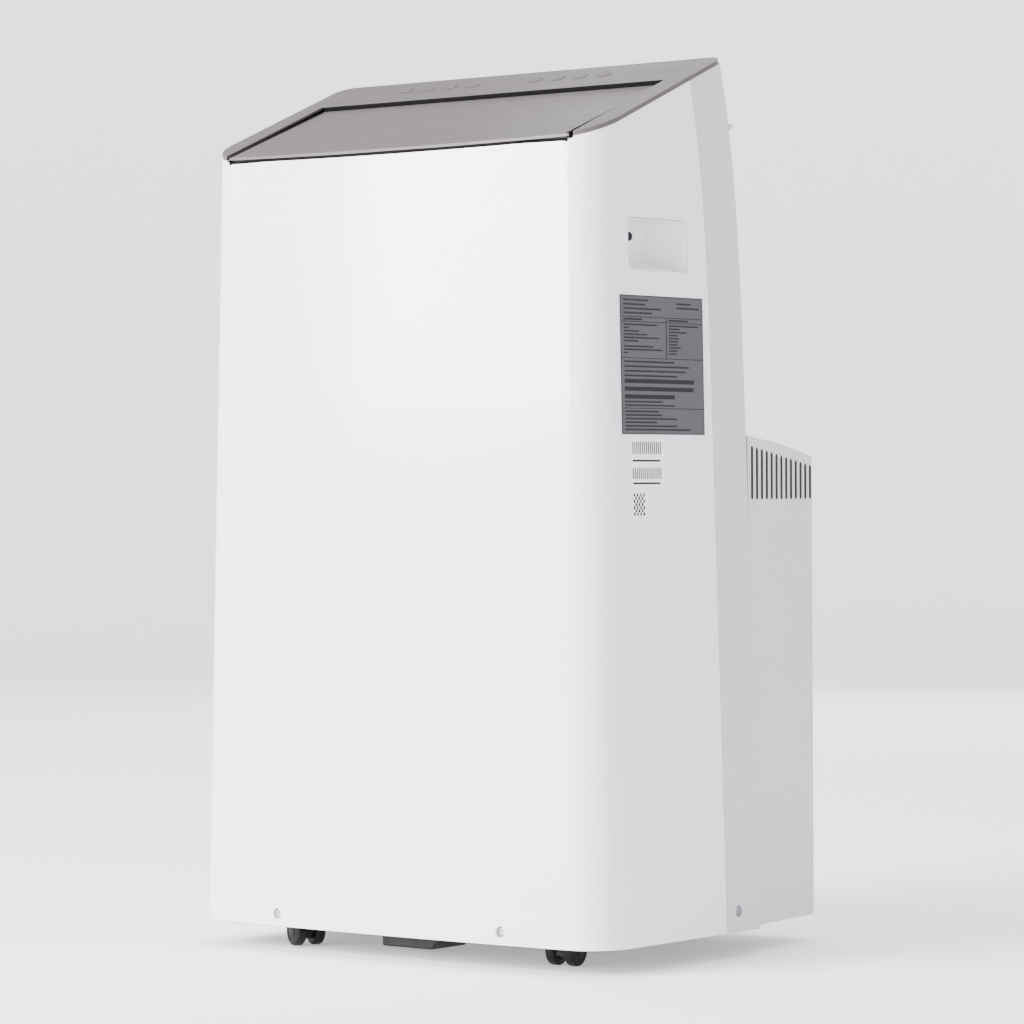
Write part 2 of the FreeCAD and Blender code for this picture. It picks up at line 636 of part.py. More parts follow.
# ---- casters ----------------------------------------------------------------
def caster(name, x, y, heading):
    """Twin-wheel caster; the wheel centre trails the stem along heading."""
    turn = math.radians(heading)
    ahead = V(math.cos(turn), math.sin(turn), 0)
    across = V(-math.sin(turn), math.cos(turn), 0)
    stem_foot = V(x, y, 0)
    hub = stem_foot + ahead * CASTER_TRAIL + V(0, 0, WHEEL_R)

    def along_axle(radius, start, length):
        return Part.makeCylinder(radius, length, hub + across * start, across)

    half_gap = WHEEL_GAP / 2
    body = along_axle(7.5, -half_gap + 0.4, WHEEL_GAP - 0.8)
    post = Part.makeCylinder(5.0, 15.0, stem_foot + V(0, 0, 14.0))
    post = post.common(Part.makeCylinder(5.0, 100, stem_foot))
    web = Part.makeBox(CASTER_TRAIL, WHEEL_GAP - 0.8, 13.0, V(0, -(WHEEL_GAP - 0.8) / 2, 9.0))
    web.rotate(V(0, 0, 0), V(0, 0, 1), heading)
    web.translate(stem_foot)
    clear = along_axle(WHEEL_R + 0.5, half_gap - 0.2, 30)
    clear = clear.fuse(along_axle(WHEEL_R + 0.5, -half_gap + 0.2 - 30, 30))
    stem = Part.makeCylinder(STEM_R, 24.0, stem_foot + V(0, 0, 25.0))
    fork = fuse([body, web, post]).cut(clear).fuse(stem)
    bore = along_axle(AXLE_R, -20, 40)
    save("caster_fork_" + name, fork.cut(bore).removeSplitter())
    save("caster_axle_" + name,
         along_axle(AXLE_R, -half_gap - WHEEL_WIDTH + 1.0, WHEEL_GAP + 2 * WHEEL_WIDTH - 2.0))
    wheels = []
    for sign in (-1, 1):
        start = half_gap if sign > 0 else -half_gap - WHEEL_WIDTH
        disc = along_axle(WHEEL_R, start, WHEEL_WIDTH)
        rims = [e for e in disc.Edges if e.Length > 2 * math.pi * WHEEL_R - 1]
        disc = disc.makeFillet(2.4, rims)
        hole = along_axle(AXLE_R + PIN_PLAY, start - 5 if sign > 0 else start + 0.95, WHEEL_WIDTH + 4.05)
        wheels.append(disc.cut(hole))
    save("caster_wheels_" + name, Part.makeCompound(wheels))


# ---- refrigeration ----------------------------------------------------------
COMPRESSOR = (-118.0, -40.0)
SUCTION_X, SUCTION_Y = -176.0, 5.0


def compressor():
    """Hermetic shell on a three-foot plate, with the accumulator strapped beside it."""
    x, y = COMPRESSOR
    shell = rod((x, y, 52), (0, 0, 1), 60.0, 190.0)
    shell = shell.makeFillet(22.0, [e for e in shell.Edges if e.Length > 300])
    feet = [rod((x + 72 * math.cos(a), y + 72 * math.sin(a), 52), (0, 0, 1), 13.0, 4.0)
            for a in foot_angles()]
    plate = rod((x, y, 52), (0, 0, 1), 70.0, 4.0)
    holes = [rod((x + 72 * math.cos(a), y + 72 * math.sin(a), 50), (0, 0, 1), 5.2, 10.0)
             for a in foot_angles()]
    cap = rod((x, y, 240), (0, 0, 1), 14.0, 12.0)
    return Part.makeCompound([fuse([shell, plate, cap] + feet).cut(holes), accumulator()])


def foot_angles():
    return [math.radians(90 + 120 * k) for k in range(3)]


def compressor_grommets():
    """Rubber mounts, one through each compressor foot."""
    x, y = COMPRESSOR
    rings = []
    for angle in foot_angles():
        px, py = x + 72 * math.cos(angle), y + 72 * math.sin(angle)
        base = rod((px, py, PAN_BOTTOM + PAN_FLOOR), (0, 0, 1), 11.0, 52 - PAN_BOTTOM - PAN_FLOOR)
        neck = rod((px, py, 51.9), (0, 0, 1), 5.15, 6.0)
        rings.append(base.fuse(neck).removeSplitter())
    return Part.makeCompound(rings)


def accumulator():
    x, y = COMPRESSOR[0] + 82, COMPRESSOR[1] - 36
    tank = rod((x, y, 90), (0, 0, 1), 17.0, 120.0)
    tank = tank.makeFillet(12.0, [e for e in tank.Edges if e.Length > 100])
    return tank


def tube(points, radius, bend):
    """Round tube along straight runs joined by arcs of one bend radius."""
    pts = [V(*p) for p in points]
    edges, here = [], pts[0]
    for before, corner, after in zip(pts, pts[1:], pts[2:]):
        arrive = (corner - before).normalize()
        leave = (after - corner).normalize()
        half_turn = arrive.getAngle(leave) / 2
        back = bend * math.tan(half_turn)
        start, end = corner - arrive * back, corner + leave * back
        inward = (leave - arrive).normalize()
        middle = corner + inward * (bend / math.cos(half_turn) - bend)
        edges += [Part.LineSegment(here, start).toShape(), Part.Arc(start, middle, end).toShape()]
        here = end
    edges.append(Part.LineSegment(here, pts[-1]).toShape())
    path = Part.Wire(edges)
    ring = Part.Wire([Part.Circle(pts[0], (pts[1] - pts[0]).normalize(), radius).toShape()])
    return path.makePipeShell([ring], True, False)


def copper_pipes():
    x, y = COMPRESSOR
    ax, ay = x + 82, y - 36
    discharge = tube([(x, y, 252.2), (x, y, 290), (x - 62, y, 290), (x - 62, 60, 290), (x - 62, 60, 232),
                      (x - 62, 114.8, 232)], 4.0, 12.0)
    suction = tube([(ax, ay, 210.2), (ax, ay, 400), (SUCTION_X, ay, 400),
                    (SUCTION_X, SUCTION_Y, 400), (SUCTION_X, SUCTION_Y, 449.8)], 5.0, 14.0)
    return Part.makeCompound([discharge, suction])


def coil_block(x0, x1, y0, y1, z0, z1, rows):
    """Finned coil between end plates, with return bends past the plates."""
    core = box(x0, x1, y0, y1, z0, z1)
    plates = [box(x - 1.5, x + 1.5, y0 - 3, y1 + 3, z0 - 2, z1 + 2) for x in (x0, x1)]
    bends = []
    pitch = (z1 - z0) / rows
    middle = (y0 + y1) / 2
    for row in range(rows):
        z = z0 + (row + 0.5) * pitch
        for x, way in ((x1 + 1, 1), (x0 - 1, -1)):
            ring = Part.makeTorus(pitch * 0.28, 2.6, V(x, middle, z), V(0, 1, 0))
            keep = box(min(x, x + way * 20), max(x, x + way * 20), y0 - 9, y1 + 9, z - pitch, z + pitch)
            bends.append(ring.common(keep))
    return fuse([core] + plates + bends)


def condenser_coil():
    return coil_block(-176, 176, 118, 146, 60, 250, 7)


def evaporator_coil():
    return coil_block(-186, 186, -10, 20, 452, 690, 9)


def drip_tray():
    """Shelf between the warm and the cold side; catches the coil's water."""
    outer = box(-200, 200, -140, 42, 426, 446)
    inner = box(-197, 197, -137, 39, 429, 470)
    pipe_hole = rod((SUCTION_X, SUCTION_Y, 420), (0, 0, 1), 6.5, 20)
    return outer.cut([inner, pipe_hole])


# ---- fans -------------------------------------------------------------------
def blower_wheel(centre, radius, width):
    """Forward-curved blade ring on a back plate with a bored hub."""
    x, y, z = centre
    plate = rod((x, y - width / 2, z), (0, 1, 0), radius - 1, 2.5)
    ring = rod((x, y + width / 2 - 3, z), (0, 1, 0), radius, 3.0)
    ring = ring.cut(rod((x, y + width / 2 - 4, z), (0, 1, 0), radius - 7, 6.0))
    hub = rod((x, y - width / 2, z), (0, 1, 0), 11.0, 20.0)
    blades = []
    for k in range(BLADES):
        blade = box(x + radius - 14, x + radius - 0.6,
                    y - width / 2 + 1, y + width / 2 - 1, z - 0.8, z + 0.8)
        blade.rotate(V(x + radius - 14, y, z), V(0, 1, 0), 24)
        blade = blade.common(rod((x, y - width, z), (0, 1, 0), radius - 0.4, 2 * width))
        blade.rotate(V(x, y, z), V(0, 1, 0), 360.0 * k / BLADES)
        blades.append(blade)
    bore = rod((x, y - width, z), (0, 1, 0), SHAFT_R + PIN_PLAY, 2 * width)
    return fuse([plate, ring, hub] + blades).cut(bore)


def fan_motor(centre, width, radius, length):
    """Round motor in front of the wheel with its shaft through the hub."""
    x, y, z = centre
    back = y - width / 2 - 9
    can = rod((x, back - length, z), (0, 1, 0), radius, length)
    can = can.makeFillet(5.0, [e for e in can.Edges if e.Length > 2 * math.pi * radius - 1])
    shaft = rod((x, back - 1, z), (0, 1, 0), SHAFT_R, 9 + 22)
    return can.fuse(shaft).removeSplitter()


def scroll(centre, radius, width, exit_x, exit_top):
    """Box-backed scroll casing round a wheel, open upward, with a round inlet."""
    x, y, z = centre
    gap = radius + SCROLL_GAP
    front, rear = y - width / 2 - 6, y + width / 2 + 6
    t = SCROLL_WALL

    def solid(grow):
        drum = rod((x, front - grow, z), (0, 1, 0), gap + grow, rear - front + 2 * grow)
        neck = box(exit_x[0] - grow, exit_x[1] + grow, front - grow, rear + grow, z, exit_top)
        return drum.fuse(neck)

    open_top = box(exit_x[0], exit_x[1], front, rear, z, exit_top + 5)
    casing = solid(t).cut([solid(0.0), open_top])
    inlet = rod((x, rear - 1, z), (0, 1, 0), radius - 14, 10)
    shaft_hole = rod((x, front - 10, z), (0, 1, 0), 16.0, 20)
    return casing.cut([inlet, shaft_hole]).removeSplitter()


def evaporator_volute():
    return scroll(UPPER_FAN, UPPER_FAN_R, UPPER_FAN_WIDTH, (-NECK_HALF, NECK_HALF), THROAT_LOW - 0.5)


PLENUM_X = (-25.0, 175.0)
PLENUM_Z = (257.0, 415.0)
DUCT_END = HALF_DEPTH - COLLAR_LENGTH - 3.4


def condenser_volute():
    """Lower scroll that rises into a plenum and a round duct to the outlet."""
    casing = scroll(LOWER_FAN, LOWER_FAN_R, LOWER_FAN_WIDTH, (PLENUM_X[0], PLENUM_X[0] + 182.0), PLENUM_Z[0])
    x, y, z = LOWER_FAN
    front, rear = y - LOWER_FAN_WIDTH / 2 - 6, y + LOWER_FAN_WIDTH / 2 + 6
    t = SCROLL_WALL
    (x0, x1), (z0, z1) = PLENUM_X, PLENUM_Z
    plenum = box(x0 - t, x1 + t, front - t, rear + t, z0, z1 + t)
    hollow = box(x0, x1, front, rear, z0 - 1, z1)
    duct = rod((OUTLET_X, rear, OUTLET_Z), (0, 1, 0), OUTLET_R + t, DUCT_END - rear)
    bore = rod((OUTLET_X, rear - 10, OUTLET_Z), (0, 1, 0), OUTLET_R, 120)
    return casing.fuse([plenum, duct]).cut([hollow, bore]).removeSplitter()


def lower_filter():
    """Cassette that slides out sideways; its tab shows in the housing's side."""
    y0, y1 = FILTER_SLOT_Y[0] + 1, FILTER_SLOT_Y[1] - 1
    z0, z1 = FILTER_Z[0] + 1, FILTER_Z[1] - 1
    frame = box(-204.6, 172, y0, y1, z0, z1)
    columns, rows = 6, 3
    cell_x, cell_z = 366.0 / columns, (z1 - z0 - 4) / rows
    pockets = []
    for column in range(columns):
        for row in range(rows):
            x, z = -196 + column * cell_x, z0 + 3 + row * cell_z
            pockets.append(box(x, x + cell_x - 4, y0 - 1, y0 + 2, z, z + cell_z - 3))
            pockets.append(box(x, x + cell_x - 4, y0 + 3, y1 + 1, z, z + cell_z - 3))
    return frame.cut(pockets)


def upper_filter():
    """Net frame clipped inside the upper intake grille."""
    skin = behind_rear(-WALL - 6.0).cut(behind_rear(-WALL - 1.0))
    frame = skin.common(box(-GRILLE_X + 6, GRILLE_X - 6, 10, 90, GRILLE_Z[0] + 8, GRILLE_Z[1] - 8))
    pockets = []
    columns, rows = 4, 3
    cell_x = (2 * GRILLE_X - 18) / columns
    cell_z = (GRILLE_Z[1] - GRILLE_Z[0] - 20) / rows
    net = behind_rear(-WALL - 4.0).cut(behind_rear(-WALL - 3.0))
    for column in range(columns):
        for row in range(rows):
            x, z = -GRILLE_X + 10 + column * cell_x, GRILLE_Z[0] + 12 + row * cell_z
            pockets.append(box(x, x + cell_x - 5, 10, 90, z, z + cell_z - 5).cut(net))
    return frame.cut(pockets)


def control_box():
    outer = box(70, 190, -138, -96, 300, 408)
    inner = box(72, 188, -136, -94, 302, 406)
    cover = box(70, 190, -98, -96, 300, 408)
    return outer.cut(inner).fuse(cover).removeSplitter()


def rear_port(x, radius, collar_radius, bore):
    """Round fitting that passes through the housing and ends flush with it."""
    y0 = 156.0
    body = rod((x, y0, PORT_Z), (0, 1, 0), radius, HALF_DEPTH - 0.4 - y0)
    collar = rod((x, y0 + 2, PORT_Z), (0, 1, 0), collar_radius, HALF_DEPTH - WALL - 0.2 - y0 - 2)
    return body.fuse(collar).cut(rod((x, y0 - 5, PORT_Z), (0, 1, 0), bore, 40)).removeSplitter()


def cable_gland():
    """Strain relief for the mains lead, in the rear housing's lower left."""
    return rear_port(-PORT_X, GLAND_R, GLAND_R + 3, 4.0)


def drain_spigot():
    """Drain tube from the pan, ending flush with the housing."""
    return rear_port(PORT_X, DRAIN_R, DRAIN_R + 4, DRAIN_BORE)


def drain_plug():
    """Rubber stopper pushed into the drain bore, with a pull ring groove."""
    stem = rod((PORT_X, 159.0, PORT_Z), (0, 1, 0), DRAIN_BORE - 0.08, 12.6)
    groove = rod((PORT_X, 168.4, PORT_Z), (0, 1, 0), DRAIN_BORE, 1.2)
    core = rod((PORT_X, 168.0, PORT_Z), (0, 1, 0), DRAIN_BORE - 1.2, 2.0)
    return stem.cut(groove.cut(core))


def case_screws():
    """Recessed case screws: two in the front, one in each side strip."""
    screws = []
    for side in (-1, 1):
        x, z = side * FRONT_SCREW[0], FRONT_SCREW[1]
        screws.append(screw((x, front_face_y(x, z) + 4.5, z), (0, 1, 0), 14.0))
        y, z = SIDE_SCREW
        screws.append(screw((side * (side_face_x(z) - 4.5), y, z), (-side, 0, 0), 5.0))
    return Part.makeCompound(screws)


def screw(seat, inward, length):
    """Pan head on the outer side of its seat, with a cross recess."""
    outward = V(*inward) * -1
    head = Part.makeCylinder(3.8, 2.2, V(*seat), outward)
    head = head.makeFillet(1.0, [e for e in head.Edges
                                 if e.Length > 20 and (e.CenterOfMass - V(*seat)).Length > 1])
    shank = Part.makeCylinder(1.75, length, V(*seat) - V(*inward) * 0.5, V(*inward))
    tip = V(*seat) + outward * 1.2
    level = V(1, 0, 0) if abs(inward[1]) > 0.5 else V(0, 1, 0)
    recesses = []
    for across in (level, V(0, 0, 1)):
        block = Part.makeBox(4.4, 0.9, 2.0, V(-2.2, -0.45, 0))
        turn = FreeCAD.Rotation(across, outward.cross(across), outward, "ZXY")
        block.Placement = FreeCAD.Placement(tip, turn)
        recesses.append(block)
    return head.fuse(shank).cut(recesses).removeSplitter()


# ---- build ------------------------------------------------------------------
save("front_shell", front_shell())
save("rear_cover", rear_cover())
save("rear_housing", rear_housing())
save("top_frame", top_frame())
save("louvre_flap", louvre_flap())
save("upper_intake_grille", upper_intake_grille())
save("upper_filter", upper_filter())
save("lower_filter", lower_filter())
save("exhaust_collar", exhaust_collar())
save("exhaust_guard", exhaust_guard())
save("handle_cup_left", handle_cup(-1))
save("handle_cup_right", handle_cup(1))
save("base_pan", base_pan())
save("skid_foot", skid_foot())
save("compressor", compressor())
save("compressor_grommets", compressor_grommets())
save("copper_pipes", copper_pipes())
save("condenser_coil", condenser_coil())
save("evaporator_coil", evaporator_coil())
save("drip_tray", drip_tray())
save("evaporator_volute", evaporator_volute())
save("condenser_volute", condenser_volute())
save("evaporator_blower", blower_wheel(UPPER_FAN, UPPER_FAN_R, UPPER_FAN_WIDTH))
save("condenser_blower", blower_wheel(LOWER_FAN, LOWER_FAN_R, LOWER_FAN_WIDTH))
save("evaporator_fan_motor", fan_motor(UPPER_FAN, UPPER_FAN_WIDTH, 40.0, 34.0))
save("condenser_fan_motor", fan_motor(LOWER_FAN, LOWER_FAN_WIDTH, 44.0, 60.0))
save("control_box", control_box())
save("control_board", control_board())
save("outlet_throat", outlet_throat())
save("vane_link", vane_link())
save("cable_gland", cable_gland())
save("drain_spigot", drain_spigot())
save("drain_plug", drain_plug())
save("case_screws", case_screws())
for number, place in enumerate(vane_places(), 1):
    save("vane_%d" % number, vane(place))
for number, place in enumerate(button_places(), 1):
    save("button_%d" % number, button(place))
for caster_name, (stem_x, stem_y, caster_heading) in CASTERS.items():
    caster(caster_name, stem_x, stem_y, caster_heading)
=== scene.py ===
import json
import math

import bmesh
import bpy
from mathutils import Matrix, Vector
from mathutils.bvhtree import BVHTree


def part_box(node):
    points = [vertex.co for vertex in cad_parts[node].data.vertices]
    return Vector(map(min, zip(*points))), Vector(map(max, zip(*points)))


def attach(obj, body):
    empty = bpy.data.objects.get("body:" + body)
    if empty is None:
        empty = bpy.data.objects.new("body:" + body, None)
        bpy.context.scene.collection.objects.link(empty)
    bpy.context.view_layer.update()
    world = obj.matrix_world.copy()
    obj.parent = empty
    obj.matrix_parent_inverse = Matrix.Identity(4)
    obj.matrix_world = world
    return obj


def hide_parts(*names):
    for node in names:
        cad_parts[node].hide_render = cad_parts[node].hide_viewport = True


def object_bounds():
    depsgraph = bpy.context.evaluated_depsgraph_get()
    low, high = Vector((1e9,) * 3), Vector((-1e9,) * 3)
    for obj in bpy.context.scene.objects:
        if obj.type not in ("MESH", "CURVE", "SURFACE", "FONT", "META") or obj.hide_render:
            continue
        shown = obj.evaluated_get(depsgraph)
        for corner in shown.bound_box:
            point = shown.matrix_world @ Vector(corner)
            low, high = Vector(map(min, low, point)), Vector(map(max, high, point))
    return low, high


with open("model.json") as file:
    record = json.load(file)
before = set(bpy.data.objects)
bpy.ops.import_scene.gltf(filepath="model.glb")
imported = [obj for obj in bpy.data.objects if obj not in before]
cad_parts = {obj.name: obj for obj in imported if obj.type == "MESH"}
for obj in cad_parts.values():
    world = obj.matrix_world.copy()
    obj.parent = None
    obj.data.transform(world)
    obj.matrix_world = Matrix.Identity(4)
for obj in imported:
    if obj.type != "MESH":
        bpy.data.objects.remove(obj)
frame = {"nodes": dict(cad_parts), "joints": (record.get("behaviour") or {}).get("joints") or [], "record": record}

# Lengths are in metres and angles in degrees unless a name says otherwise.
# The front faces -Y, the plate is on the +X side, and +Z is up.
CAD_LOW, CAD_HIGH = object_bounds()
RECORD = frame["record"]
JOINTS = {j["name"]: j for j in frame["joints"]}
X_AXIS, Y_AXIS, Z_AXIS = Vector((1, 0, 0)), Vector((0, 1, 0)), Vector((0, 0, 1))


# ---- camera, light and floor ------------------------------------------------
CAMERA_PLACE = (2.1820, -2.7483, 0.4001)
CAMERA_RIGHT = (0.78352, 0.62134, -0.0050)
CAMERA_AHEAD = (-0.62136, 0.78349, -0.0070)
CAMERA_LENS_MM = 141.5
CAMERA_SENSOR_MM = 36.0
CAMERA_REACH = 50.0

NEUTRAL = (1.0, 1.0, 1.0)
# name, place, aimed at, width and height, power in watts, colour
SOFT_BOXES = (
    ("key_light", (-1.9, -3.9, 1.9), (0, 0, 0.45), (2.6, 2.6), 830.0, (0.965, 0.95, 1.0)),
    ("side_fill", (3.6, -0.4, 1.5), (0, 0, 0.4), (1.8, 2.4), 5.0, NEUTRAL),
    ("top_light", (0.0, 0.4, 3.6), (0, 0, 0.5), (3.0, 2.4), 60.0, NEUTRAL),
    ("back_light", (-1.6, 3.6, 1.7), (0, 0, 0.4), (2.4, 2.2), 60.0, NEUTRAL),
)
SKY_COLOUR = (0.985, 0.97, 1.0, 1.0)
SKY_STRENGTH = 1.2

FLOOR_RADIUS = 5.2
FLOOR_SIDES = 96
COVE_RADIUS = 2.6
COVE_STEPS = 12
FLOOR_COLOUR = (0.93, 0.93, 0.93, 1.0)
FLOOR_ROUGHNESS = 0.9
FLOOR_GLOW = 0.45


def add_camera():
    right = Vector(CAMERA_RIGHT).normalized()
    ahead = Vector(CAMERA_AHEAD).normalized()
    up = right.cross(ahead).normalized()
    turn = Matrix((right, up, -ahead)).transposed().to_4x4()
    data = bpy.data.cameras.new("view_camera")
    data.sensor_width = CAMERA_SENSOR_MM
    data.lens = CAMERA_LENS_MM
    data.clip_end = CAMERA_REACH
    camera = bpy.data.objects.new("view_camera", data)
    camera.matrix_world = Matrix.Translation(CAMERA_PLACE) @ turn
    bpy.context.collection.objects.link(camera)
    bpy.context.scene.camera = camera


def add_area_light(name, place, target, size, power, colour):
    data = bpy.data.lights.new(name, "AREA")
    data.shape = "RECTANGLE"
    data.size, data.size_y = size
    data.energy = power
    data.color = colour
    light = bpy.data.objects.new(name, data)
    light.location = place
    light.rotation_euler = (Vector(target) - Vector(place)).to_track_quat("-Z", "Y").to_euler()
    bpy.context.collection.objects.link(light)


def add_studio():
    for soft_box in SOFT_BOXES:
        add_area_light(*soft_box)
    world = bpy.data.worlds.new("studio_world")
    world.use_nodes = True
    sky = world.node_tree.nodes["Background"]
    sky.inputs["Color"].default_value = SKY_COLOUR
    sky.inputs["Strength"].default_value = SKY_STRENGTH
    bpy.context.scene.world = world


def make_floor_material():
    material = bpy.data.materials.new("pale_floor")
    material.use_nodes = True
    shader = material.node_tree.nodes["Principled BSDF"]
    shader.inputs["Base Color"].default_value = FLOOR_COLOUR
    shader.inputs["Roughness"].default_value = FLOOR_ROUGHNESS
    shader.inputs["Emission Color"].default_value = (*NEUTRAL, 1.0)
    shader.inputs["Emission Strength"].default_value = FLOOR_GLOW
    return material


def add_floor():
    """Round pale floor whose rim curves up into a wall, open to the sky."""
    shape = bmesh.new()
    bmesh.ops.create_circle(shape, cap_ends=True, segments=FLOOR_SIDES, radius=FLOOR_RADIUS)
    rim = shape.edges[:]
    for step in range(1, COVE_STEPS + 1):
        angle = math.radians(90.0 * step / COVE_STEPS)
        grown = bmesh.ops.extrude_edge_only(shape, edges=rim)["geom"]
        points = [g for g in grown if isinstance(g, bmesh.types.BMVert)]
        rim = [g for g in grown if isinstance(g, bmesh.types.BMEdge)]
        reach = FLOOR_RADIUS + COVE_RADIUS * math.sin(angle)
        height = COVE_RADIUS * (1.0 - math.cos(angle))
        for point in points:
            point.co = Vector((point.co.x, point.co.y, 0.0)).normalized() * reach
            point.co.z = height
    for face in shape.faces:
        face.smooth = True
    mesh = bpy.data.meshes.new("studio_floor")
    shape.to_mesh(mesh)
    shape.free()
    mesh.materials.append(make_floor_material())
    floor = bpy.data.objects.new("studio_floor", mesh)
    bpy.context.collection.objects.link(floor)


# ---- shader groups ----------------------------------------------------------
FLOAT, COLOUR = "NodeSocketFloat", "NodeSocketColor"
SURFACE_OUTPUTS = [("Colour", COLOUR), ("Roughness", FLOAT), ("Height", FLOAT)]


def new_group(name, inputs, outputs):
    """A node group with float or colour sockets, and its input and output nodes."""
    group = bpy.data.node_groups.new(name, "ShaderNodeTree")
    for socket, kind, value in inputs:
        item = group.interface.new_socket(socket, in_out="INPUT", socket_type=kind)
        item.default_value = value
    for socket, kind in outputs:
        group.interface.new_socket(socket, in_out="OUTPUT", socket_type=kind)
    return group, group.nodes.new("NodeGroupInput"), group.nodes.new("NodeGroupOutput")


def math_node(tree, operation, a, b=None):
    node = tree.nodes.new("ShaderNodeMath")
    node.operation = operation
    for index, value in enumerate((a, b)):
        if value is None:
            continue
        if isinstance(value, (int, float)):
            node.inputs[index].default_value = value
        else:
            tree.links.new(value, node.inputs[index])
    return node.outputs[0]


def noise_node(tree, scale, detail, roughness, stretch=(1.0, 1.0, 1.0)):
    place = tree.nodes.new("ShaderNodeTexCoord")
    mapping = tree.nodes.new("ShaderNodeMapping")
    mapping.inputs["Scale"].default_value = stretch
    tree.links.new(place.outputs["Object"], mapping.inputs["Vector"])
    noise = tree.nodes.new("ShaderNodeTexNoise")
    noise.inputs["Detail"].default_value = detail
    noise.inputs["Roughness"].default_value = roughness
    tree.links.new(mapping.outputs["Vector"], noise.inputs["Vector"])
    if isinstance(scale, (int, float)):
        noise.inputs["Scale"].default_value = scale
    else:
        tree.links.new(scale, noise.inputs["Scale"])
    return noise.outputs["Fac"]


def ramp_value(tree, value, low, high, out_low, out_high):
    node = tree.nodes.new("ShaderNodeMapRange")
    tree.links.new(value, node.inputs["Value"])
    for name, number in (("From Min", low), ("From Max", high)):
        node.inputs[name].default_value = number
    for name, number in (("To Min", out_low), ("To Max", out_high)):
        if isinstance(number, (int, float)):
            node.inputs[name].default_value = number
        else:
            tree.links.new(number, node.inputs[name])
    return node.outputs["Result"]


def mix_colour(tree, factor, first, second):
    node = tree.nodes.new("ShaderNodeMix")
    node.data_type = "RGBA"
    tree.links.new(factor, node.inputs["Factor"])
    for socket, value in (("A", first), ("B", second)):
        target = [s for s in node.inputs if s.name == socket and s.type == "RGBA"][0]
        if isinstance(value, tuple):
            target.default_value = value
        else:
            tree.links.new(value, target)
    return [s for s in node.outputs if s.type == "RGBA"][0]


def link_result(group, result, colour, roughness, height):
    group.links.new(colour, result.inputs["Colour"])
    group.links.new(roughness, result.inputs["Roughness"])
    group.links.new(height, result.inputs["Height"])


def make_moulding_group():
    """Faint cloudy tone and handling marks of moulded plastic."""
    group, given, result = new_group(
        "moulded_surface",
        [("Colour", COLOUR, (0.8, 0.8, 0.8, 1.0)), ("Shade", COLOUR, (0.7, 0.7, 0.7, 1.0)),
         ("Cloud", FLOAT, 0.15), ("Gloss", FLOAT, 0.2), ("Scuff", FLOAT, 0.1), ("Grain", FLOAT, 900.0)],
        SURFACE_OUTPUTS)
    cloud = noise_node(group, scale=5.0, detail=4.0, roughness=0.55)
    marks = noise_node(group, scale=38.0, detail=6.0, roughness=0.7, stretch=(1.0, 1.0, 0.35))
    grain = noise_node(group, scale=given.outputs["Grain"], detail=2.0, roughness=0.5)
    mask = ramp_value(group, cloud, 0.35, 0.7, 0.0, given.outputs["Cloud"])
    colour = mix_colour(group, mask, given.outputs["Colour"], given.outputs["Shade"])
    scuff = ramp_value(group, marks, 0.5, 0.75, 0.0, given.outputs["Scuff"])
    rough = math_node(group, "ADD", given.outputs["Gloss"], scuff)
    link_result(group, result, colour, rough, grain)
    return group


def make_brushed_group():
    """Fine streaks along X, as on brushed or hairline-finished trim."""
    group, given, result = new_group(
        "brushed_surface",
        [("Colour", COLOUR, (0.4, 0.4, 0.4, 1.0)), ("Shade", COLOUR, (0.3, 0.3, 0.3, 1.0)),
         ("Streak", FLOAT, 0.3), ("Gloss", FLOAT, 0.3)],
        SURFACE_OUTPUTS)
    streaks = noise_node(group, scale=420.0, detail=3.0, roughness=0.6, stretch=(0.02, 1.0, 1.0))
    cloud = noise_node(group, scale=7.0, detail=3.0, roughness=0.5)
    strength = ramp_value(group, streaks, 0.3, 0.7, 0.0, 1.0)
    mask = math_node(group, "MULTIPLY", strength, given.outputs["Streak"])
    colour = mix_colour(group, mask, given.outputs["Colour"], given.outputs["Shade"])
    streak_gloss = ramp_value(group, streaks, 0.3, 0.7, -0.05, 0.05)
    rough = math_node(group, "ADD", given.outputs["Gloss"], streak_gloss)
    rough = math_node(group, "ADD", rough, ramp_value(group, cloud, 0.35, 0.65, 0.0, 0.05))
    link_result(group, result, colour, rough, streaks)
    return group


def make_ribbed_group():
    """Close upright ribs: bright edges with dark gaps between them; the dark gaps are painted shade."""
    group, given, result = new_group(
        "ribbed_surface",
        [("Colour", COLOUR, (0.7, 0.7, 0.7, 1.0)), ("Shade", COLOUR, (0.2, 0.2, 0.2, 1.0)),
         ("Pitch", FLOAT, 500.0), ("Gloss", FLOAT, 0.35)],
        SURFACE_OUTPUTS)
    place = group.nodes.new("ShaderNodeTexCoord")
    wave = group.nodes.new("ShaderNodeTexWave")
    wave.bands_direction = "X"
    wave.inputs["Distortion"].default_value = 0.0
    group.links.new(place.outputs["Object"], wave.inputs["Vector"])
    group.links.new(given.outputs["Pitch"], wave.inputs["Scale"])
    ribs = ramp_value(group, wave.outputs["Fac"], 0.2, 0.7, 0.0, 1.0)
    dents = noise_node(group, scale=60.0, detail=3.0, roughness=0.6)
    # Shade fills the gaps between the ribs: painted shade.
    colour = mix_colour(group, ribs, given.outputs["Shade"], given.outputs["Colour"])
    rough = ramp_value(group, dents, 0.3, 0.8, given.outputs["Gloss"], 0.6)
    link_result(group, result, colour, rough, ribs)
    return group


MOULDING = make_moulding_group()
BRUSHED = make_brushed_group()
RIBBED = make_ribbed_group()


# ---- materials --------------------------------------------------------------
COAT_ROUGHNESS = 0.04
SHELL_GRAIN = {"grain": 160.0, "bump": 0.000012, "cloud": 0.5, "scuff": 0.04}

